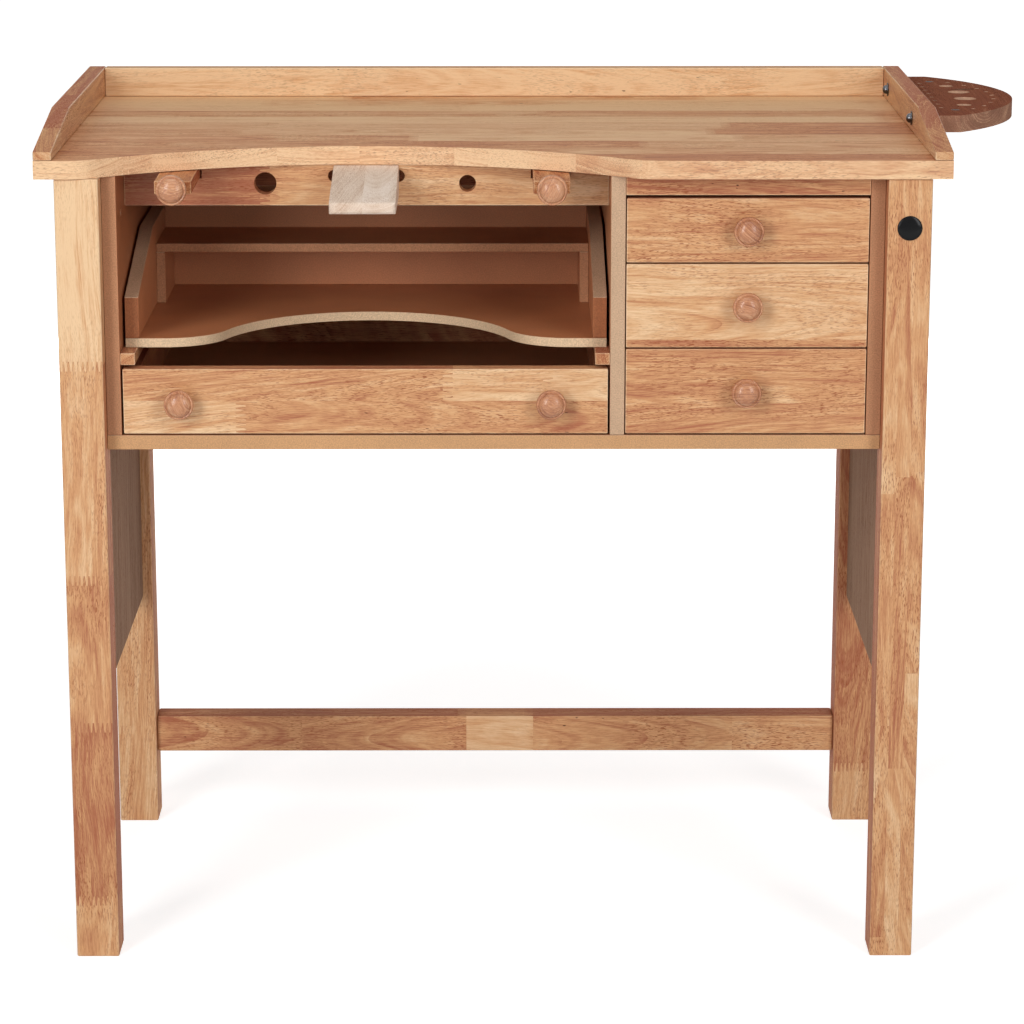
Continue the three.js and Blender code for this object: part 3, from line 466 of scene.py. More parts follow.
def worn_and_highlit_edges(tree, in_mm, size):
    """Wear and a painted highlight on the arrises of a board of this size, fading to nothing where its
    faces start.
    """
    half = size / 2
    from_core = node(tree, "ShaderNodeVectorMath", {0: in_mm, 1: half}, operation="SUBTRACT")
    from_core = node(tree, "ShaderNodeVectorMath", {0: from_core}, operation="ABSOLUTE")
    depth = node(tree, "ShaderNodeVectorMath", {0: half, 1: from_core}, operation="SUBTRACT")
    depth = node(tree, "ShaderNodeSeparateXYZ", {0: depth}).outputs
    nearer = node(tree, "ShaderNodeMath", {0: depth["X"], 1: depth["Y"]}, operation="MINIMUM")
    further = node(tree, "ShaderNodeMath", {0: depth["X"], 1: depth["Y"]}, operation="MAXIMUM")
    second = node(tree, "ShaderNodeMath", {0: further, 1: depth["Z"]}, operation="MINIMUM")
    second = node(tree, "ShaderNodeMath", {0: second, 1: nearer}, operation="MAXIMUM")
    return node(tree, "ShaderNodeMapRange", {
        "Value": second, "From Max": WORN_AND_HIGHLIT_MM, "To Min": EDGE_WEAR_AND_HIGHLIGHT, "To Max": 0},
        interpolation_type="SMOOTHSTEP")


print("arrises worn and highlit for", WORN_AND_HIGHLIT_MM, "mm")

# %% [markdown]
# ### Finding the stave
# A board's staves are listed as a joiner would lay them out: rows from the low side, and in each
# row the length and tone of every stave, from the low end. The material finds its stave by
# comparing the point with each joint in turn. The answer travels as one vector: the stave's tone,
# the number of its log, and the middle of its row.

# %% Finding the stave
LOG_NUMBERS = 100
chooser = random.Random(17)


def pick_stave(tree, rows, along, across):
    """Follows a board's joints to the stave at this point: its tone, its log and its row's middle."""
    staves, edge = None, 0
    for width, lengths in rows:
        row, joint = None, 0
        for length, tone in lengths:
            stave = (tone, chooser.random() * LOG_NUMBERS, edge + width / 2)
            if row is None:
                row = stave
            else:
                beyond = node(tree, "ShaderNodeMath", {0: along, 1: joint}, operation="GREATER_THAN")
                row = node(tree, "ShaderNodeMix", {
                    "Factor": beyond, "A": row, "B": stave}, data_type="VECTOR")
            joint += length
        if staves is None:
            staves = row
        else:
            over = node(tree, "ShaderNodeMath", {0: across, 1: edge}, operation="GREATER_THAN")
            staves = node(tree, "ShaderNodeMix", {
                "Factor": over, "A": staves, "B": row}, data_type="VECTOR")
        edge += width
    return node(tree, "ShaderNodeSeparateXYZ", {0: staves})


print("staves numbered up to", LOG_NUMBERS)

# %% [markdown]
# ### The glued board
# A board brings the parts together. Its own axes become the grain's: along the staves, across them,
# and through the board. Pushing a point to and fro along the grain, before it looks for its stave,
# turns a straight joint into a comb of fingers. A finger's slanted flank takes up a fifth of its
# pitch. Where a drawer's frame turns a corner, the grain turns with it.

# %% The glued board
FINGER_MM = 11
FINGER_PITCH_MM = 5.2
FLANK = (0.15, 0.35)
CORNER_FACING, EDGE_FACING = 0.7, (0.8, 0.95)
AXES = "xyz"


def comb(tree, along, beside):
    """The place along the grain, pushed to and fro by the fingers of a joint."""
    zigzag = node(tree, "ShaderNodeMath", {
        0: beside, 1: FINGER_PITCH_MM / 2}, operation="PINGPONG")
    push = node(tree, "ShaderNodeMapRange", {
        "Value": zigzag, **span([FINGER_PITCH_MM * share for share in FLANK]),
        "To Min": -FINGER_MM / 2, "To Max": FINGER_MM / 2})
    return node(tree, "ShaderNodeMath", {0: along, 1: push}, operation="ADD")


def glued_board(board, along, across, rows, fingers=None,
                species=RUBBERWOOD, cornered=False, bare=None):
    """Gives a board its rows of staves.

    fingers is the axis that the comb's teeth follow. A cornered board is a frame, whose grain turns
    the corner with it. bare finds the places that were sanded again or have no finish.
    """
    low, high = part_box(board)
    u, v = AXES.index(along), AXES.index(across)
    w = 3 - u - v
    size = (high - low) * MM_PER_M
    made, tree, where = new_material(f"{species['name']}_{board}")
    offset = node(tree, "ShaderNodeVectorMath", {
        0: where.outputs["Object"], 1: low}, operation="SUBTRACT")
    in_mm = node(tree, "ShaderNodeVectorMath", {0: offset, "Scale": MM_PER_M}, operation="SCALE")
    spot = node(tree, "ShaderNodeSeparateXYZ", {0: in_mm})
    normal = node(tree, "ShaderNodeSeparateXYZ", {0: where.outputs["Normal"]})
    pushed = comb(tree, spot.outputs[u], spot.outputs[AXES.index(fingers or across)])
    stave = pick_stave(tree, rows, pushed, spot.outputs[v])
    from_row = node(tree, "ShaderNodeMath", {
        0: spot.outputs[v], 1: stave.outputs["Z"]}, operation="SUBTRACT")
    from_core = node(tree, "ShaderNodeMath", {
        0: spot.outputs[w], 1: size[w] / 2}, operation="SUBTRACT")
    grain = node(tree, "ShaderNodeCombineXYZ", {
        "X": spot.outputs[u], "Y": from_row, "Z": from_core})
    facing = node(tree, "ShaderNodeCombineXYZ", {
        "X": normal.outputs[u], "Y": normal.outputs[v], "Z": normal.outputs[w]})
    if cornered:
        end_on = node(tree, "ShaderNodeMath", {0: normal.outputs[u]}, operation="ABSOLUTE")
        round_corner = node(tree, "ShaderNodeMath", {
            0: end_on, 1: CORNER_FACING}, operation="GREATER_THAN")
        other_grain = node(tree, "ShaderNodeCombineXYZ", {
            "X": from_core, "Y": from_row, "Z": spot.outputs[u]})
        grain = node(tree, "ShaderNodeMix", {
            "Factor": round_corner, "A": grain, "B": other_grain}, data_type="VECTOR")
        other_facing = node(tree, "ShaderNodeCombineXYZ", {
            "X": normal.outputs[w], "Y": normal.outputs[v], "Z": normal.outputs[u]})
        facing = node(tree, "ShaderNodeMix", {
            "Factor": round_corner, "A": facing, "B": other_facing}, data_type="VECTOR")
    # A board that is not bare gets painted shade and a duller lacquer on its narrow edges, and wear with
    # a painted highlight on its arrises.
    if bare:
        wear_and_light, edge = bare(tree, in_mm, normal, size), 0
    else:
        wear_and_light = worn_and_highlit_edges(tree, in_mm, size)
        side_on = node(tree, "ShaderNodeMath", {0: normal.outputs[v]}, operation="ABSOLUTE")
        edge = node(tree, "ShaderNodeMapRange", {"Value": side_on, **span(EDGE_FACING)})
    wood_surface(tree, species, grain, facing, stave.outputs["X"], stave.outputs["Y"], wear_and_light, edge)
    boards[board].material_slots[0].material = made
    return made


print("staves joined with fingers of", FINGER_MM, "mm")

# %% [markdown]
# ### Boards from the pile
# Most boards are laid up from whatever stave comes next off the pile. Their lengths and tones are
# drawn by chance, from a range, and a row may start in the middle of a stave.

# %% Boards from the pile
STAVE_MM = (140, 420)
FIRST_CUT_MM = 300


def any_rows(board, along, across, row_mm, tones, lengths=STAVE_MM):
    """Rows of staves as they come off the pile, with tones and lengths in these ranges."""
    low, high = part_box(board)
    size = (high - low) * MM_PER_M
    length, width = size[AXES.index(along)], size[AXES.index(across)]
    count = max(1, round(width / row_mm))
    rows = []
    for _ in range(count):
        staves, laid = [], chooser.uniform(-FIRST_CUT_MM, 0)
        while laid < length:
            stave = chooser.uniform(*lengths)
            shown = min(stave, stave + laid)
            if shown > 0:
                staves.append((shown, chooser.uniform(*tones)))
            laid += stave
        rows.append((width / count, staves))
    return rows


def piled_board(board, along, across, row_mm, tones, **looks):
    glued_board(board, along, across, any_rows(board, along, across, row_mm, tones), **looks)


print("staves on the pile are", STAVE_MM, "mm long")

# %% [markdown]
# ### The boards that the photograph shows stave by stave
# The left front leg has a dark stave low down, with fingers on its face. The right one is glued up
# from three strips and shows plain butts, because its fingers are on the other face. The stretcher
# has five staves, and each drawer front is two strips. These are laid out as they are seen, and the
# last stave of a row is simply long enough to reach the end.

# %% Legs and stretcher
REST = 1000
glued_board("front_left_leg", "z", "x", [
    (48, [(67, 0.48), (205, 0.74), (170, 0.62), (242, 0.5), (REST, 0.1)])])
glued_board("front_right_leg", "z", "x", [
    (16, [(17, 0.55), (251, 0.6), (267, 0.56), (REST, 0.42)]),
    (16, [(218, 0.38), (336, 0.62), (REST, 0.42)]),
    (16, [(329, 0.44), (231, 0.52), (REST, 0.44)])], fingers="y")
glued_board("rear_left_leg", "z", "x", [(48, [(120, 0.42), (380, 0.4), (REST, 0.4)])])
glued_board("rear_right_leg", "z", "x", [(48, [(70, 0.42), (420, 0.7), (REST, 0.6)])])
glued_board("rear_stretcher", "x", "z", [
    (46, [(177, 0.58), (207, 0.58), (84, 0.22), (251, 0.58), (REST, 0.58)])], fingers="y")
print("legs and stretcher laid up")

# %% Drawer fronts, rail and apron
glued_board("wide_drawer_front", "x", "z", [
    (37, [(129, 0.2), (REST, 0.61)]),
    (36, [(357, 0.46), (110, 0.28), (REST, 0.2)])])
glued_board("top_drawer_front", "x", "z", [(14, [(REST, 0.6)]), (60, [(REST, 0.5)])])
glued_board("bottom_drawer_front", "x", "z", [(34, [(REST, 0.58)]), (62, [(REST, 0.56)])])
glued_board("middle_drawer_front", "x", "z", [(9, [(REST, 0.62)]), (85, [(REST, 0.26)])])
glued_board("bank_top_rail", "x", "z", [(21, [(REST, 0.66)])])
# The apron's first stave, at its left end, is painted dark as painted shade under the worktop and the
# left arm.
APRON_PAINTED_SHADE_MM = 156
apron_low, apron_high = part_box("apron")
half_apron = (apron_high.x - apron_low.x) / 2 * MM_PER_M
glued_board("apron", "x", "z", [
    (46, [(APRON_PAINTED_SHADE_MM, 0.95), (half_apron - APRON_PAINTED_SHADE_MM, 0.52), (REST, 0.38)])])
print("drawer fronts laid up")

# %% [markdown]
# ### The worktop and the boards round it
# The worktop is laid up from the pile, from longer staves, and its rows are painted paler towards
# the back: a painted warm reflection of the back upstand in the lacquer. Only its front strip is
# listed stave by stave, because its sawn edge is the part that shows best.
# Use has rubbed the worktop's lacquer dull. The board along the back has open pores with dust in
# them, so they are darker than elsewhere.

# %% Worktop
WORKTOP_WOOD = {**RUBBERWOOD, "name": "rubbed_rubberwood", "Pale": "#ecc193", "Middle": "#d09163",
                "Dark": "#a0573a", "Roughness": 0.5, "Gloss": 0.06}
WORKTOP_ROW_MM, WORKTOP_STAVE_MM = 50, (260, 640)
# The back rows' tone is paler than the front rows': a painted reflection of the back upstand in the
# lacquer.
FRONT_TONE, BACK_TONE_PAINTED_REFLECTION, TONE_SPREAD = 0.5, -0.1, 0.32
FRONT_STRIP = [(94, 0.42), (560, 0.58), (REST, 0.56)]
SANDED, SANDED_FACING = 0.42, (0.3, 0.8)


def sanded_front(tree, in_mm, normal, size):
    """The worktop's shaped edge, sanded once more after it was sawn."""
    level = node(tree, "ShaderNodeMath", {0: normal.outputs["Z"]}, operation="ABSOLUTE")
    return node(tree, "ShaderNodeMapRange", {
        "Value": level, **span(SANDED_FACING), "To Min": SANDED, "To Max": 0})


worktop_rows = any_rows(
    "worktop", "x", "y", WORKTOP_ROW_MM, (-TONE_SPREAD, TONE_SPREAD), WORKTOP_STAVE_MM)
# Each row's tone steps from the front tone towards the paler back tone, the painted reflection.
for i, (width, staves) in enumerate(worktop_rows):
    middle = FRONT_TONE + (BACK_TONE_PAINTED_REFLECTION - FRONT_TONE) * i / len(worktop_rows)
    worktop_rows[i] = width, [(length, middle + tone) for length, tone in staves]
worktop_rows[0] = worktop_rows[0][0], FRONT_STRIP
glued_board("worktop", "x", "y", worktop_rows, species=WORKTOP_WOOD, bare=sanded_front)
print("worktop laid up in", len(worktop_rows), "rows")

# %% Upstands, arms, runners and frames
SPECKLED = {**RUBBERWOOD, "name": "open_pored_rubberwood", "Pore": "#5e2a12"}
# The guide rail's wood is painted darker than the rest, as painted shade in the bay behind the apron's
# holes.
OFFCUT_PAINTED_SHADE = {"name": "unfinished_dark_offcut", "Pale": "#b07c5a", "Middle": "#935e43",
          "Dark": "#6e4230", "Pore": "#4f2b1c", "Roughness": 0.85, "Gloss": 0.05}

glued_board("back_upstand", "x", "z", [
    (35, [(272, 0), (240, 0.08), (243, 0.02), (REST, 0.06)])], species=SPECKLED)
for board in ("left_upstand", "right_upstand"):
    glued_board(board, "y", "z", [(36, [(95, 0.32), (190, 0.62), (REST, 0.58)])])
for board in ("left_arm", "right_arm"):
    piled_board(board, "y", "x", 40, (0.4, 0.55), species=WORKTOP_WOOD)
for board in ("left_tray_runner", "right_tray_runner"):
    piled_board(board, "y", "z", 20, (0.5, 0.7))
for board in boards:
    if board.endswith(("_left_runner", "_right_runner")):
        piled_board(board, "y", "z", 40, (0.6, 0.9))
    if board.endswith("_drawer_frame"):
        piled_board(board, "y", "z", 45, (0.75, 0.95), cornered=True)
piled_board("arm_guide_rail", "x", "z", 40, (0.4, 0.8), species=OFFCUT_PAINTED_SHADE)
print("upstands, arms, runners and frames laid up")

# %% [markdown]
# ## Fibreboard
# The cabinet and the tray are medium-density fibreboard, sealed with the same lacquer. It is wood
# ground to fibre and pressed, so it has no grain, only a fine mottle. Its faces are pressed smooth
# and its sawn edges are open: paler, rougher, and peppered with fibres. One material does both,
# because the direction a face looks in tells a face from an edge. The slopes of the tray's sides
# were sawn last, and are paler still. The fibres are drawn coarser than life, to show at all.

# %% Fibreboard
FIBRE_SPECK_MM = 1.4
MOTTLE_MM = 55
MOTTLE_SHARE = 0.14
EDGE_SPECKS, FACE_SPECKS = 0.9, 0.6
EDGE_DULL, FACE_DULL = 0.8, 0.5
SPECK_STRENGTH, SPECK_DEPTH_M = 0.3, 0.0002
FACE_FACING, SLOPE_FACING = (0.5, 0.8), (0.1, 0.2)
FACE, DARK_FACE, TRAY_FACE = "#b67b54", "#a2623c", "#bb784f"
PALE_EDGE, RED_EDGE, TAN_EDGE, GREY_EDGE = "#d8bb98", "#b5805c", "#c6976a", "#c2a081"
SLOPE = "#c6a586"


def fibreboard(name, face, edge, thin):
    """Sealed fibreboard. thin is the axis through the board."""
    made, tree, where = new_material(f"sealed_fibreboard_{name}")
    normal = node(tree, "ShaderNodeSeparateXYZ", {0: where.outputs["Normal"]})
    flat = node(tree, "ShaderNodeMath", {0: normal.outputs[AXES.index(thin)]}, operation="ABSOLUTE")
    on_face = node(tree, "ShaderNodeMapRange", {"Value": flat, **span(FACE_FACING)})
    speck = node(tree, "ShaderNodeTexNoise", {
        "Vector": where.outputs["Object"], "Scale": MM_PER_M / FIBRE_SPECK_MM, "Detail": 2})
    mottle = node(tree, "ShaderNodeTexNoise", {
        "Vector": where.outputs["Object"], "Scale": MM_PER_M / MOTTLE_MM, "Detail": 3})
    sloping = node(tree, "ShaderNodeMapRange", {
        "Value": normal.outputs["Z"], **span(SLOPE_FACING)})
    sawn = node(tree, "ShaderNodeMix", {
        "Factor": sloping, "A": linear(edge), "B": linear(SLOPE)}, data_type="RGBA")
    base = node(tree, "ShaderNodeMix", {
        "Factor": on_face, "A": sawn, "B": linear(face)}, data_type="RGBA")
    speck_share = node(tree, "ShaderNodeMapRange", {
        "Value": on_face, "To Min": EDGE_SPECKS, "To Max": FACE_SPECKS})
    specked = node(tree, "ShaderNodeMath", {0: speck, 1: NOISE_MIDDLE}, operation="SUBTRACT")
    specked = node(tree, "ShaderNodeMath", {0: specked, 1: speck_share}, operation="MULTIPLY")
    mottled = node(tree, "ShaderNodeMapRange", {
        "Value": mottle, "To Min": 1 - MOTTLE_SHARE, "To Max": 1 + MOTTLE_SHARE})
    light = node(tree, "ShaderNodeMath", {0: specked, 1: mottled}, operation="ADD")
    tinted = node(tree, "ShaderNodeVectorMath", {0: base, "Scale": light}, operation="SCALE")
    rough = node(tree, "ShaderNodeMapRange", {
        "Value": on_face, "To Min": EDGE_DULL, "To Max": FACE_DULL})
    pressed = node(tree, "ShaderNodeBump", {
        "Strength": SPECK_STRENGTH, "Distance": SPECK_DEPTH_M, "Height": speck})
    shader = node(tree, "ShaderNodeBsdfPrincipled", {
        "Base Color": tinted, "Roughness": rough, "Normal": pressed, "IOR": LACQUER_IOR})
    node(tree, "ShaderNodeOutputMaterial", {"Surface": shader})
    return made


print("fibreboard has specks of", FIBRE_SPECK_MM, "mm")

# %% Cabinet and tray
FIBREBOARDS = {
    # name: (face, edge, the axis through the board, boards)
    "divider": (FACE, GREY_EDGE, "x", ["cabinet_divider"]),
    # The cabinet sides take the darker face colour as painted shade on their inner faces in the bay.
    "side": (DARK_FACE, RED_EDGE, "x", ["cabinet_left_side", "cabinet_right_side"]),
    "bottom": (FACE, TAN_EDGE, "z", ["cabinet_bottom"]),
    "back": (FACE, TAN_EDGE, "y", ["cabinet_back"]),
    "tray_upright": (TRAY_FACE, DARK_FACE, "x", ["tray_left_side", "tray_right_side"]),
    "tray_flat": (TRAY_FACE, PALE_EDGE, "z", ["tray_floor"]),
    "tray_back": (TRAY_FACE, TAN_EDGE, "y", ["tray_back"]),
    "tray_shelf": (TRAY_FACE, RED_EDGE, "z", ["tray_shelf"]),
    "tray_cleat": (TRAY_FACE, RED_EDGE, "x", ["tray_left_cleat", "tray_right_cleat"]),
    "drawer_floor": (FACE, TAN_EDGE, "z", ["wide_drawer_floor", "top_drawer_floor",
                                           "middle_drawer_floor", "bottom_drawer_floor"]),
}
for name, (face, edge, thin, names) in FIBREBOARDS.items():
    pressed = fibreboard(name, face, edge, thin)
    for board in names:
        boards[board].material_slots[0].material = pressed
print("fibreboard of", len(FIBREBOARDS), "kinds")

# %% [markdown]
# ## The other woods
# The end panels are boards with a plain grey-brown veneer, whose grain runs upright. The bench
# pin is sawn and filed until it is worn out, so it is plain, pale hardwood with no finish, glued
# up from two strips. The tool holder is a redder hardwood, oiled and matt. Its upright walls are
# painted paler than its top, as painted light, and palest in its holes. All of them come from the
# same solid wood, with their own colours.

# %% End panels, bench pin and tool holder
PANEL_VENEER = {"name": "sanded_grey_veneer", "Pale": "#ac9179", "Middle": "#a1826c",
                "Dark": "#866854", "Pore": "#735746", "Roughness": 0.8, "Gloss": 0.02}
PIN_WOOD = {"name": "planed_pale_hardwood", "Pale": "#f0dfd0", "Middle": "#e2ccb8",
            "Dark": "#c9a890", "Pore": "#c2a088", "Roughness": 0.75, "Gloss": 0.15}
HOLDER_WOOD = {"name": "oiled_red_hardwood", "Pale": "#dda784", "Middle": "#96593f",
               "Dark": "#814833", "Pore": "#623423", "Roughness": 0.8, "Gloss": 0.04}
RIM_RADIUS_MM, RIM_SKIN_MM = 238, 4
# The rim and hole levels paint the holder's upright walls paler than its top, as painted light.
RIM_PAINTED_LIGHT, HOLE_PAINTED_LIGHT = 0.32, 0.7
LEVEL_FACING = 0.5


def painted_light_walls(tree, in_mm, normal, size):
    """The holder's upright walls, painted paler than its top as painted light, and palest in its holes.
    """
    pivot = (size.x - RIM_RADIUS_MM, size.y / 2, 0)
    from_pivot = node(tree, "ShaderNodeVectorMath", {0: in_mm, 1: pivot}, operation="SUBTRACT")
    from_pivot = node(tree, "ShaderNodeVectorMath", {0: from_pivot, 1: (1, 1, 0)}, operation="MULTIPLY")
    reach = node(tree, "ShaderNodeVectorMath", {0: from_pivot}, operation="LENGTH").outputs["Value"]
    inside = node(tree, "ShaderNodeMath", {
        0: reach, 1: RIM_RADIUS_MM - RIM_SKIN_MM}, operation="LESS_THAN")
    from_end = node(tree, "ShaderNodeSeparateXYZ", {0: from_pivot}).outputs["Y"]
    from_end = node(tree, "ShaderNodeMath", {0: from_end}, operation="ABSOLUTE")
    inside_ends = node(tree, "ShaderNodeMath", {
        0: from_end, 1: size.y / 2 - RIM_SKIN_MM}, operation="LESS_THAN")
    level = node(tree, "ShaderNodeMath", {0: normal.outputs["Z"]}, operation="ABSOLUTE")
    upright = node(tree, "ShaderNodeMath", {0: level, 1: LEVEL_FACING}, operation="LESS_THAN")
    inside = node(tree, "ShaderNodeMath", {0: inside, 1: inside_ends}, operation="MULTIPLY")
    wall_light = node(tree, "ShaderNodeMapRange", {
        "Value": inside, "To Min": RIM_PAINTED_LIGHT, "To Max": HOLE_PAINTED_LIGHT})
    return node(tree, "ShaderNodeMath", {0: wall_light, 1: upright}, operation="MULTIPLY")


for board in ("left_end_panel", "right_end_panel"):
    piled_board(board, "z", "y", 150, (0.4, 0.6), species=PANEL_VENEER)
pin_wood = glued_board("bench_pin", "y", "x", [
    (36, [(REST, 0.5)]), (36, [(REST, 0.3)])], species=PIN_WOOD)
glued_board("tool_holder", "y", "x", [
    (109, [(REST, 0.72)])], species=HOLDER_WOOD, bare=painted_light_walls)
print("panels, pin and holder made")

# %% [markdown]
# ## Metal and enamel
# Two zinc-plated bolts with blackened barrel nuts hold the tool holder, and a plain black disc
# sits on the right leg. Zinc plate with a black chromate is a dark, slightly blue mirror with fine
# clouds in it, so a bolt shows one bright spot. Blackened steel has a skin of dull black oxide.
# The disc is black enamel, which is never quite even either.

# %% Steel and enamel
CLOUD_TINT = 0.2


def clouded(name, colour, metallic, rough, cloud_mm, shine=0.5):
    """A hard smooth surface whose gloss drifts over clouds of this size."""
    made, tree, where = new_material(name)
    cloud = node(tree, "ShaderNodeTexNoise", {
        "Vector": where.outputs["Object"], "Scale": MM_PER_M / cloud_mm, "Detail": 3})
    tint = node(tree, "ShaderNodeMapRange", {
        "Value": cloud, "To Min": 1 - CLOUD_TINT, "To Max": 1 + CLOUD_TINT})
    tinted = node(tree, "ShaderNodeVectorMath", {
        0: linear(colour)[:3], "Scale": tint}, operation="SCALE")
    gloss = node(tree, "ShaderNodeMapRange", {
        "Value": cloud, "To Min": rough[0], "To Max": rough[1]})
    shader = node(tree, "ShaderNodeBsdfPrincipled", {
        "Base Color": tinted, "Metallic": metallic, "Roughness": gloss,
        "Specular IOR Level": shine})
    node(tree, "ShaderNodeOutputMaterial", {"Surface": shader})
    return made


zinc = clouded("black_zinc_plated_steel", "#5c5c5f", 1, (0.12, 0.3), 3)
blackened = clouded("blackened_steel", "#171514", 0, (0.55, 0.75), 3)
enamel = clouded("black_gloss_enamel", "#0a0a0c", 0, (0.08, 0.2), 6, shine=0.14)
for board in boards:
    if board.endswith("_bolt"):
        boards[board].material_slots[0].material = zinc
    if board.endswith("_barrel_nut"):
        boards[board].material_slots[0].material = blackened
print("metal and enamel made")

# %% [markdown]
# ## Turned knobs
# The knobs are turned from beech: a collar against the drawer, a neck to get the fingers behind,
# and a domed head with a fine step round it. A lathe piece is a profile swept round an
# axis, so that is how it is made, with the profile finer than the joinery model needs it. The
# black disc is made on the same lathe, as a low dome.

# %% Lathe
LATHE_STEPS = 64
LATHE_WELD_M = 1e-6
bodies = frame["record"]["behaviour"]["bodies"]


def turned(name, profile):
    """A closed mesh: (radius, height) points in millimetres swept round the -Y axis."""
    shape = bmesh.new()
    points = [shape.verts.new((radius / MM_PER_M, -height / MM_PER_M, 0)) for radius, height in profile]
    line = [shape.edges.new(pair) for pair in zip(points, points[1:])]
    bmesh.ops.spin(shape, geom=points + line, cent=(0, 0, 0), axis=(0, 1, 0),
                   angle=2 * math.pi, steps=LATHE_STEPS, use_duplicate=False)
    bmesh.ops.remove_doubles(shape, verts=shape.verts, dist=LATHE_WELD_M)
    bmesh.ops.recalc_face_normals(shape, faces=shape.faces)
    for face in shape.faces:
        face.smooth = True
    mesh = bpy.data.meshes.new(name)
    shape.to_mesh(mesh)
    shape.free()
    return mesh


def fit(mesh, member, place):
    """Puts a piece in the place of a node, on the body that carried it."""
    piece = bpy.data.objects.new(mesh.name + "_" + member, mesh)
    piece.location = place
    scene.collection.objects.link(piece)
    body = next(body for body, members in bodies.items() if member in members)
    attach(piece, body)
    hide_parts(member)


print("lathe turns in", LATHE_STEPS, "steps")

# %% Knobs
KNOB_WOOD = {"name": "turned_beech", "Pale": "#dbae89", "Middle": "#c38862",
             "Dark": "#935a40", "Pore": "#9a6044", "Roughness": 0.2, "Gloss": 0.38}
KNOB_TONE = 0.5
KNOB_LOGS = 50
KNOB_PROFILE_MM = [
    # (radius, distance in front of the drawer)
    (0, -12), (4, -12), (4, 0.3), (10, 0.3), (10.5, 0.8), (10.5, 2.4), (10, 3), (8.8, 4.4),
    (8.1, 6.4), (8, 8.4), (8.4, 10.4), (9.6, 12.1), (11.8, 13.3), (14, 14), (15.6, 15.2),
    (16.4, 17), (16.5, 18.6), (16.3, 20.2), (15.8, 21.2), (15.2, 21.7), (14.6, 21.7),
    (14.1, 21.3), (13.8, 21.4), (13.6, 22), (13.2, 23.1), (12.3, 24.4), (10.8, 25.7),
    (8.8, 26.9), (6.4, 27.7), (3.6, 28.3), (0, 28.5),
]


def knob_material():
    """Lacquered beech, with the grain of every knob turned another way."""
    made, tree, where = new_material(KNOB_WOOD["name"])
    which = node(tree, "ShaderNodeObjectInfo")
    turn = node(tree, "ShaderNodeMath", {
        0: which.outputs["Random"], 1: 2 * math.pi}, operation="MULTIPLY")
    in_mm = node(tree, "ShaderNodeVectorMath", {
        0: where.outputs["Object"], "Scale": MM_PER_M}, operation="SCALE")
    grain, facing = [
        node(tree, "ShaderNodeVectorRotate", {"Vector": way, "Angle": turn}, rotation_type="Y_AXIS")
        for way in (in_mm, where.outputs["Normal"])]
    stave = node(tree, "ShaderNodeMath", {
        0: which.outputs["Random"], 1: KNOB_LOGS}, operation="MULTIPLY")
    wood_surface(tree, KNOB_WOOD, grain, facing, KNOB_TONE, stave, wear_and_light=0, edge=0)
    return made


knob_mesh = turned("turned_knob", KNOB_PROFILE_MM)
knob_mesh.materials.append(knob_material())
knobs = [(member, body) for body, members in bodies.items()
         for member in members if member.endswith("_knob")]
for member, body in knobs:
    carrier = body if body.endswith("_arm") else f"{body}_front"
    low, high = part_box(member)
    middle = (low + high) / 2
    fit(knob_mesh, member, (middle.x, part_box(carrier)[0].y, middle.z))
print("knobs turned:", len(knobs))

# %% Disc
DISC_STEPS = 12
low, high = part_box("leg_disc")
disc_radius = (high.x - low.x) / 2 * MM_PER_M
disc_thick = (high.y - low.y) * MM_PER_M
crown = [i / DISC_STEPS for i in range(DISC_STEPS + 1)]
dome = [(disc_radius * (1 - t * t), disc_thick * t * (2 - t)) for t in crown]
disc_mesh = turned("turned_disc", [(0, 0)] + dome)
disc_mesh.materials.append(enamel)
fit(disc_mesh, "leg_disc", ((low.x + high.x) / 2, high.y, (low.z + high.z) / 2))
print("disc of", round(2 * disc_radius, 1), "mm turned")

# %% [markdown]
# ## The bench pin
# A pin is worn round at the nose long before it is replaced. A bevel on the joinery model could not
# be that large, because the tenon behind it is in the way. So the wedge is made again here as a
# prism, with its nose rounded over first and the other edges eased after that, and a plain tenon.

# %% Bench pin
NOSE_MM, NOSE_ROUND_MM, PIN_EASE_MM = 12.5, 4.5, 1.2
TENON_DROP_MM, TENON_MM, TENON_LAP_MM = 5.8, 12.9, 2
SEAT_GAP_MM = 0.3
NOSE_SLACK_M = 1e-5
ROUND_SEGMENTS = 5
PIN_CORNER, SHARP = math.radians(40), math.radians(30)
pin_low, pin_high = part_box("bench_pin")
root = apron_low.y - SEAT_GAP_MM / MM_PER_M


def prism(shape, left, right, outline):
    """A solid from left to right with this outline of (y, z) points."""
    ends = [[shape.verts.new((x, y, z)) for y, z in outline] for x in (left, right)]
    shape.faces.new(ends[0])
    shape.faces.new(reversed(ends[1]))
    for i in range(len(outline)):
        shape.faces.new((ends[0][i - 1], ends[1][i - 1], ends[1][i], ends[0][i]))


def round_over(shape, edges, radius_mm):
    bmesh.ops.bevel(shape, geom=edges, offset=radius_mm / MM_PER_M,
                    segments=ROUND_SEGMENTS, profile=0.5, affect="EDGES")


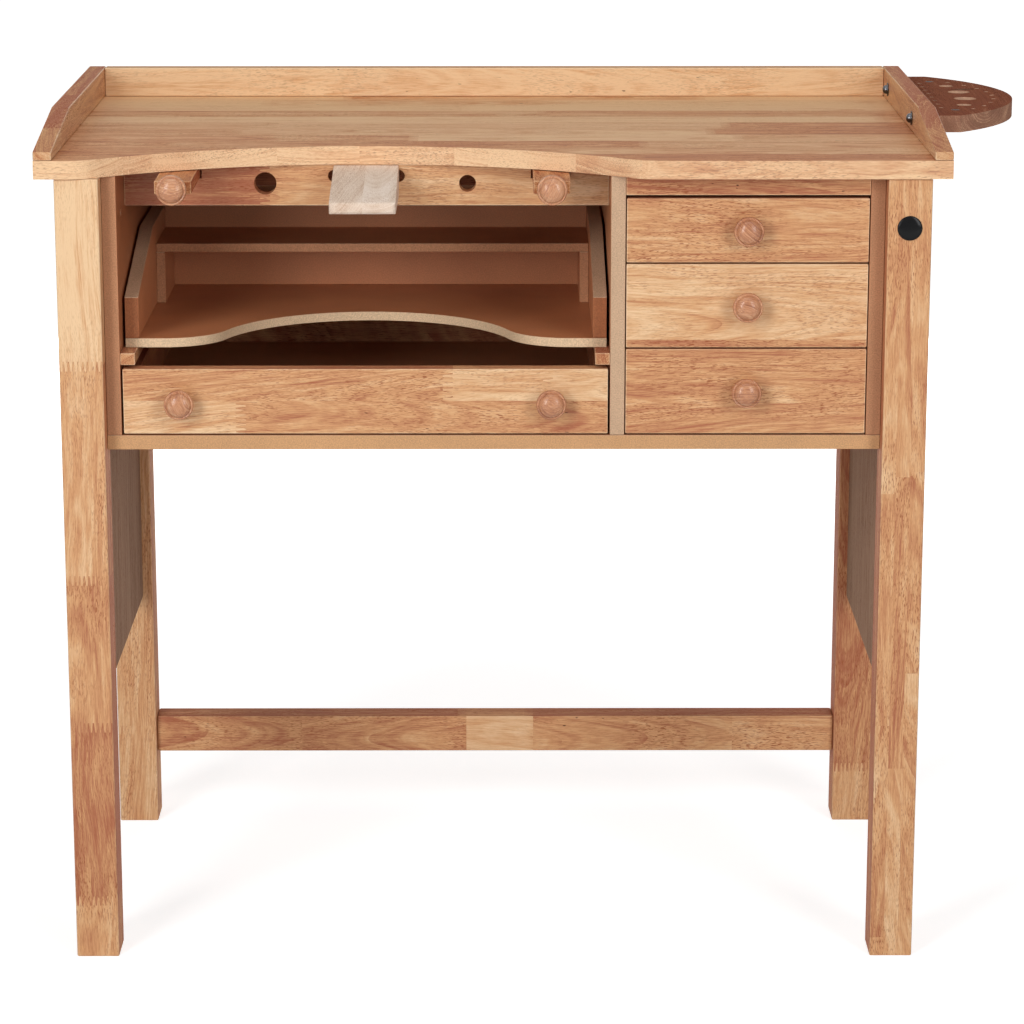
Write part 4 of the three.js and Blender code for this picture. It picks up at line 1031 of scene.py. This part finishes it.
pin = bmesh.new()
nose_top = pin_low.z + NOSE_MM / MM_PER_M
prism(pin, pin_low.x, pin_high.x, [
    (pin_low.y, pin_low.z), (root, pin_low.z), (root, pin_high.z), (pin_low.y, nose_top)])
bmesh.ops.recalc_face_normals(pin, faces=pin.faces)
nose_limit = pin_low.y + NOSE_SLACK_M
nose = [e for e in pin.edges if all(v.co.y < nose_limit for v in e.verts)]
round_over(pin, nose, NOSE_ROUND_MM)
corners = [e for e in pin.edges if e.calc_face_angle() > PIN_CORNER]
round_over(pin, corners, PIN_EASE_MM)
tenon_front = root - TENON_LAP_MM / MM_PER_M
tenon_top = pin_high.z - TENON_DROP_MM / MM_PER_M
tenon_foot = tenon_top - TENON_MM / MM_PER_M
prism(pin, pin_low.x, pin_high.x, [
    (tenon_front, tenon_foot), (pin_high.y, tenon_foot),
    (pin_high.y, tenon_top), (tenon_front, tenon_top)])
bmesh.ops.recalc_face_normals(pin, faces=pin.faces)
for face in pin.faces:
    face.smooth = True
pin_mesh = bpy.data.meshes.new("planed")
pin.to_mesh(pin_mesh)
pin.free()
pin_mesh.set_sharp_from_angle(angle=SHARP)
pin_mesh.materials.append(pin_wood)
fit(pin_mesh, "bench_pin", (0, 0, 0))
print("pin has", len(pin_mesh.polygons), "faces")

# %% [markdown]
# ## Eased edges
# No joiner leaves a sharp edge on a bench: sandpaper takes off a millimetre or two, and that thin
# round is what catches the light. The boards come in as loose triangles, so a small geometry
# modifier first joins them into one shell with smooth curves and crisp corners. A bevel then
# rounds every corner that is sharper than thirty degrees.

# %% Edges
SHELL_WELD_M = 0.00001
EASE_MM = {"worktop": 2, "_leg": 2, "_stretcher": 2, "_front": 1.2, "_upstand": 1.5, "_arm": 1.5,
           "_holder": 1.5, "apron": 1}
PLAIN_EASE_MM = 0.6
EASE_SEGMENTS = 3

one_shell = bpy.data.node_groups.new("one_shell", "GeometryNodeTree")
for way in ("INPUT", "OUTPUT"):
    one_shell.interface.new_socket("Geometry", in_out=way, socket_type="NodeSocketGeometry")
loose = node(one_shell, "NodeGroupInput")
joined = node(one_shell, "GeometryNodeMergeByDistance", {
    "Geometry": loose, "Distance": SHELL_WELD_M})
angle = node(one_shell, "GeometryNodeInputMeshEdgeAngle")
crisp = node(one_shell, "FunctionNodeCompare", {
    0: angle.outputs["Unsigned Angle"], 1: SHARP}, data_type="FLOAT", operation="GREATER_THAN")
smooth = node(one_shell, "GeometryNodeSetMeshNormal", {
    "Mesh": joined, "Remove Custom": True, "Edge Sharpness": crisp, "Face Sharpness": False})
node(one_shell, "NodeGroupOutput", {"Geometry": smooth})

for name, board in boards.items():
    if board.hide_render:
        continue
    board.modifiers.new("one shell", "NODES").node_group = one_shell
    width = next((mm for ending, mm in EASE_MM.items() if name.endswith(ending)), PLAIN_EASE_MM)
    ease = board.modifiers.new("eased edges", "BEVEL")
    ease.width = width / MM_PER_M
    ease.segments = EASE_SEGMENTS
    ease.limit_method = "ANGLE"
    ease.angle_limit = SHARP
    ease.harden_normals = True
print("edges eased on", sum(not b.hide_render for b in boards.values()), "boards")
